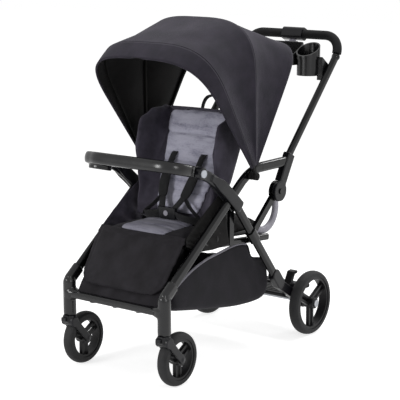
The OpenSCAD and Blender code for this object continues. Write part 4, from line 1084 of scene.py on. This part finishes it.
for q in range(1, BASKET_ROWS - 1):
    for c in range(1, basket_cols - 1):
        x, y, z = basket_points[q, c]
        depth = min(c, basket_cols - 1 - c) / SIDE_COLS
        basket_points[q, c, 0] += math.copysign(0.0035 * ripple((x, y * 0.6, z), 70, 5.0) * min(1, depth), x)


print("basket of", BASKET_ROWS, "by", basket_cols, "points")

# %% [markdown]
# The sheet takes its points from that grid. The grey piping runs along the mouth as far as the rear leg, and
# the black cloth is bound from there on.

# %% Basket cloth and piping
def basket_place(s, t):
    return basket_points[round(s * (BASKET_ROWS - 1)), round(t * (basket_cols - 1))]


basket = cloth_sheet("basket_cloth", BASKET_ROWS, basket_cols, basket_place, -BASKET_T,
                     basket_cloth, basket_cloth)
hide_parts("basket")
declare_cloth(basket, ["seat_rails"])
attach(basket, "frame")

PIPING_END_Y = -0.022
PIPED = [k for k, p in enumerate(rim_line) if p.y < PIPING_END_Y]
for side, word in SIDES:
    rim = [Vector((side * (BASKET_HALF_W + 0.001), p.y, p.z)) for p in rim_line]
    pipe = sweep("basket_piping_" + word, [rim[k] for k in PIPED], round_section(0.0042), piping_cloth)
    bound = sweep("basket_rim_" + word, rim[PIPED[-1]:], round_section(0.0026), basket_cloth)
    for piece, slot in ((pipe, "grey_cloth"), (bound, "black_cloth")):
        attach(piece, "frame")
print("basket made")

# %% [markdown]
# ## Rear bench
# The rear child sits on a small padded bench. Its cover is loose and slightly crumpled, so the swollen pillow
# also gets two sizes of noise on its top.

# %% Bench cushion
BENCH_Z, BENCH_HALF_W, BENCH_HALF_L = 0.4335, 0.149, 0.099


def bench_place(x, y, n):
    return Vector((x, y, BENCH_Z + n))


bench = pillow("bench_cushion", bench_place, always(BENCH_HALF_W), -BENCH_HALF_L, BENCH_HALF_L,
               crowned(0.034, 0.006), always(0.0006), lining, corner=8.0)
HELD_Z = BENCH_Z + 0.0035
blow_up(bench, (points_of(bench.data)[:, 2] < HELD_Z) * 1.0, cap=0.006)
points = points_of(bench.data)
crumple = np.array([ripple(p, 34, 6.0) + 0.6 * ripple(p, 17, 7.0) for p in points])
carve(bench, 0.0026 * crumple * (points[:, 2] > HELD_Z))
finish_pad(bench, "black_cloth", 0.5, "frame", "bench_pad")

# %% [markdown]
# The grey arms of the bench are moulded hooks: a rounded section swept along an arc.

# %% Bench arms
def oval_section(half_a, half_b, powers=(0.7, 0.7), count=28):
    """A rounded oblong: the lower the powers, the squarer it is."""
    turns = np.linspace(0, 2 * math.pi, count, endpoint=False)
    return [(half_a * math.copysign(abs(math.cos(a)) ** powers[0], math.cos(a)),
             half_b * math.copysign(abs(math.sin(a)) ** powers[1], math.sin(a))) for a in turns]


ARM_X, ARM_Y, ARM_Z, ARM_R = 0.159, 0.104, 0.4906, 0.074
hook = [(0.0424, 0.3999), (0.050, 0.414)]
hook += [(ARM_Y + ARM_R * math.cos(a), ARM_Z + ARM_R * math.sin(a))
         for a in [math.radians(degrees) for degrees in np.linspace(-128, 29, 36)]]
hook_section = oval_section(0.0085, 0.0125, (0.5, 0.5), 24)
hook_sizes = [1.0] * (len(hook) - 2) + [0.92, 0.6]
for side, word in SIDES:
    line = [(side * ARM_X, y, z) for y, z in hook]
    arm = sweep("bench_arm_" + word, line, hook_section, grey_abs, sizes=hook_sizes)
    if side > 0:
        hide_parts("bench_arms")
    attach(arm, "frame")
print("bench arms of", len(hook), "points")

# %% [markdown]
# ## Harness
# A five-point harness: two shoulder straps come out of slots in the backrest, pass through padded sleeves and
# end at the buckle, with two waist belts and a crotch strap. Webbing is flat and keeps its width, so each
# strap is a flat section swept along a smooth path.

# %% Harness
BUCKLE = Vector((0, -0.238, 0.515))
PAD_SECTION = oval_section(0.020, 0.0065, (0.6, 0.8), 20)
PADDED_STEPS = slice(16, 34)
for side, word in SIDES:
    def beside(x, y, z, side=side):
        return Vector((side * x, y, z))
    shoulder = curve_through([
        on_back(side * 0.062, 0.268, 0.024), on_back(side * 0.062, 0.256, 0.044),
        on_back(side * 0.061, 0.20, 0.055), on_back(side * 0.056, 0.145, 0.062),
        beside(0.045, -0.206, 0.568), BUCKLE + beside(0.026, 0.002, 0.014)])
    strap = sweep("shoulder_strap_" + word, shoulder, strap_section(0.025, 0.0022), webbing)
    pad_path = shoulder[PADDED_STEPS]
    swell = [0.6 + 0.4 * math.sin(math.pi * k / (len(pad_path) - 1)) ** 0.35 for k in range(len(pad_path))]
    pad = sweep("shoulder_pad_" + word, pad_path, PAD_SECTION, webbing, sizes=swell)
    if side > 0:
        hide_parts("shoulder_straps")
    for piece in (strap, pad):
        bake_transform(piece)
    corner = beside(0.126, -0.203, 0.492)
    waist_path = curve_through([corner, corner + beside(-0.016, -0.010, 0.018), beside(0.078, -0.213, 0.536),
                                beside(0.052, -0.207, 0.563)])
    waist = sweep("waist_belt_" + word, waist_path, strap_section(0.026, 0.0024), webbing, side=(0, -1, 0.25))
    hip_path = curve_through([corner, beside(0.098, -0.232, 0.499), beside(0.066, -0.242, 0.505),
                              BUCKLE + beside(0.030, 0, -0.004)])
    hip = sweep("hip_belt_" + word, hip_path, strap_section(0.030, 0.005, 0.002), webbing, side=(0, -0.5, 1))
    for piece in (waist, hip):
        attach(piece, "frame")
crotch_path = curve_through([(0, -0.236, 0.484), (0, -0.237, 0.492), BUCKLE + Vector((0, 0, -0.010))])
crotch = sweep("crotch_strap_web", crotch_path, strap_section(0.038, 0.004), webbing)
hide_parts("crotch_strap")
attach(crotch, "frame")
print("harness made")

# %% [markdown]
# ## Smooth castings
# Moulded parts have no sharp inner corners: plastic and light metal flow better through rounded ones, and
# such a corner is stronger. The CAD solids meet in plain edges. So a casting is made here from its own CAD
# mesh or from swept shapes, or both; a voxel remesh fuses them and smoothing rounds every corner.

# %% Smooth castings
def cad_mesh(name):
    place = nodes[name].matrix_world
    mesh = nodes[name].data
    return [place @ v.co for v in mesh.vertices], [list(p.vertices) for p in mesh.polygons]


def swept(path, section, sizes=None, side=(1, 0, 0)):
    piece = sweep("fillet", path, section, nylon, side=side, sizes=sizes)
    part = [v.co.copy() for v in piece.data.vertices], [list(p.vertices) for p in piece.data.polygons]
    bpy.data.objects.remove(piece)
    return part


def smooth_cast(name, parts, voxel, turns, mat, slot, *replaced):
    verts, faces = [], []
    for part_verts, part_faces in parts:
        faces += [[len(verts) + k for k in face] for face in part_faces]
        verts += part_verts
    cast = make_object(name, verts, faces, mat)
    even_out(cast, voxel)
    soften(cast, turns)
    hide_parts(*replaced)
    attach(cast, nodes[replaced[0]].parent.name.split(":")[-1])

# %% [markdown]
# ## Hubs and front castings
# The hub is one moulding: an arched arm that carries the tray, which splits into two cheeks round the rear
# leg. The front casting turns the leg into the upright of the caster and reaches across to the footrest.

# %% Hubs and front castings
HUB_LINE = [(-0.320, 0.684), (-0.275, 0.664), (-0.225, 0.633), (-0.180, 0.598), (-0.148, 0.569),
            (-0.122, 0.546), (-0.112, 0.537)]
ARM_SIZES = [(0, 0.92), (0.12, 0.95), (1, 1.12)]
CHEEK_SIZES = [(0, 0.5), (0.25, 0.95), (0.9, 1.0), (1, 0.75)]
FOOTREST_Y, FOOTREST_Z = -0.512, 0.260
FLARE = [(0.206, 1.0), (0.190, 0.98), (0.176, 0.85), (0.164, 0.66), (0.152, 0.52)]


def sizes_along(path, stops):
    return [along_stops(k / (len(path) - 1), stops) for k in range(len(path))]


for side, word in SIDES:
    def on_hub(x, points, side=side):
        return curve_through([Vector((side * x, y, z)) for y, z in points])
    arm = on_hub(0.205, HUB_LINE[:5])
    parts = [swept(arm, oval_section(0.0105, 0.0195), sizes_along(arm, ARM_SIZES))]
    boss = [(side * x, *HUB_LINE[0]) for x in (0.1946, 0.2155)]
    parts.append(swept(boss, round_section(0.0215, 24), side=(0, 1, 0)))
    for x in (0.1900, 0.2184):
        cheek = on_hub(x, HUB_LINE[1:])
        parts.append(swept(cheek, oval_section(0.0040, 0.0225, (0.6, 0.6)), sizes_along(cheek, CHEEK_SIZES)))
    smooth_cast("hub_casting_" + word, parts, 0.0022, 5, nylon, "moulded_black", "hub_" + word)
    casting = "front_casting_" + word
    flare = [(side * x, FOOTREST_Y, FOOTREST_Z) for x, _ in FLARE]
    sizes = [size for _, size in FLARE]
    parts = [cad_mesh(casting), swept(flare, oval_section(0.024, 0.021), sizes, (0, 1, 0))]
    smooth_cast(casting + "_smooth", parts, 0.003, 10, abs_black, "moulded_black", casting)
print("hubs and castings made")

# %% [markdown]
# ## Other mouldings
# The caster forks, the rear feet, the sleeves on the push bar and the footrest are single mouldings too, so
# they get the same rounding. Only the footrest is in satin ABS, which shows a brighter highlight.

# %% Other mouldings
SOFT_EDGED = [
    ("caster_fork_right", 0.0022, 4, nylon), ("caster_fork_left", 0.0022, 4, nylon),
    ("rear_foot_right", 0.0022, 5, nylon), ("rear_foot_left", 0.0022, 5, nylon),
    ("handle_sleeves", 0.0022, 4, nylon), ("footrest", 0.0024, 3, abs_black),
]
for name, voxel, turns, mat in SOFT_EDGED:
    smooth_cast(name + "_moulding", [cad_mesh(name)], voxel, turns, mat, "moulded_black", name)
print("made", len(SOFT_EDGED), "mouldings")

# %% [markdown]
# ## Child tray
# The child tray's front is a thick rounded roll. Its line follows the edge of the tray, which is a rounded
# oblong with a round lobe for the cup; both shrink by the inset, and the farthest point in each direction
# from the middle is the edge. The roll is fused with the tray's own mesh and rounded with it.

# %% Child tray
TRAY_Y, TRAY_Z, TRAY_TILT = -0.320, 0.684, math.radians(14)
TRAY_HALF_W, TRAY_FRONT, TRAY_REAR, NOSE_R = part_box("child_tray")[1][0] - 0.0115, -0.454, -0.304, 0.070
LOBE_X, LOBE_Y, LOBE_R = -0.168, -0.3843, 0.053
ROLL_INSET, ROLL_END_Y, ROLL_Z = 0.005, -0.352, 0.003
ROLL_SECTION = oval_section(0.0205, 0.011, (0.9, 0.9))


def on_tray(x, y):
    across = max(0, abs(x) - TRAY_HALF_W + NOSE_R)
    ahead = max(0, TRAY_FRONT + NOSE_R - y)
    plate = math.hypot(across, ahead) < NOSE_R - ROLL_INSET and y < TRAY_REAR
    return plate or math.hypot(x - LOBE_X, y - LOBE_Y) < LOBE_R - ROLL_INSET


REACHES = np.arange(0.26, 0.02, -0.0005)
middle = Vector((0, LOBE_Y))
edge = []
for turn in np.linspace(math.radians(16), math.radians(-196), 240):
    way = Vector((math.cos(turn), math.sin(turn)))
    reach = next(r for r in REACHES if on_tray(*(way * r + middle)))
    edge.append(way * reach + middle)
for _ in range(20):
    edge = [edge[0]] + [(a + 2 * b + c) / 4 for a, b, c in zip(edge, edge[1:], edge[2:])] + [edge[-1]]
tilt = Matrix.Rotation(-TRAY_TILT, 3, "X")
pivot = Vector((0, TRAY_Y, TRAY_Z))
roll = [pivot + tilt @ Vector((p.x, p.y - TRAY_Y, ROLL_Z)) for p in edge if p.y < ROLL_END_Y]
parts = [cad_mesh("child_tray"), swept(roll, ROLL_SECTION, side=tuple(tilt @ Vector((0, 0, 1))))]
smooth_cast("child_tray_moulding", parts, 0.0026, 12, abs_black, "moulded_black", "child_tray")
print("child tray with a roll of", len(roll), "points")
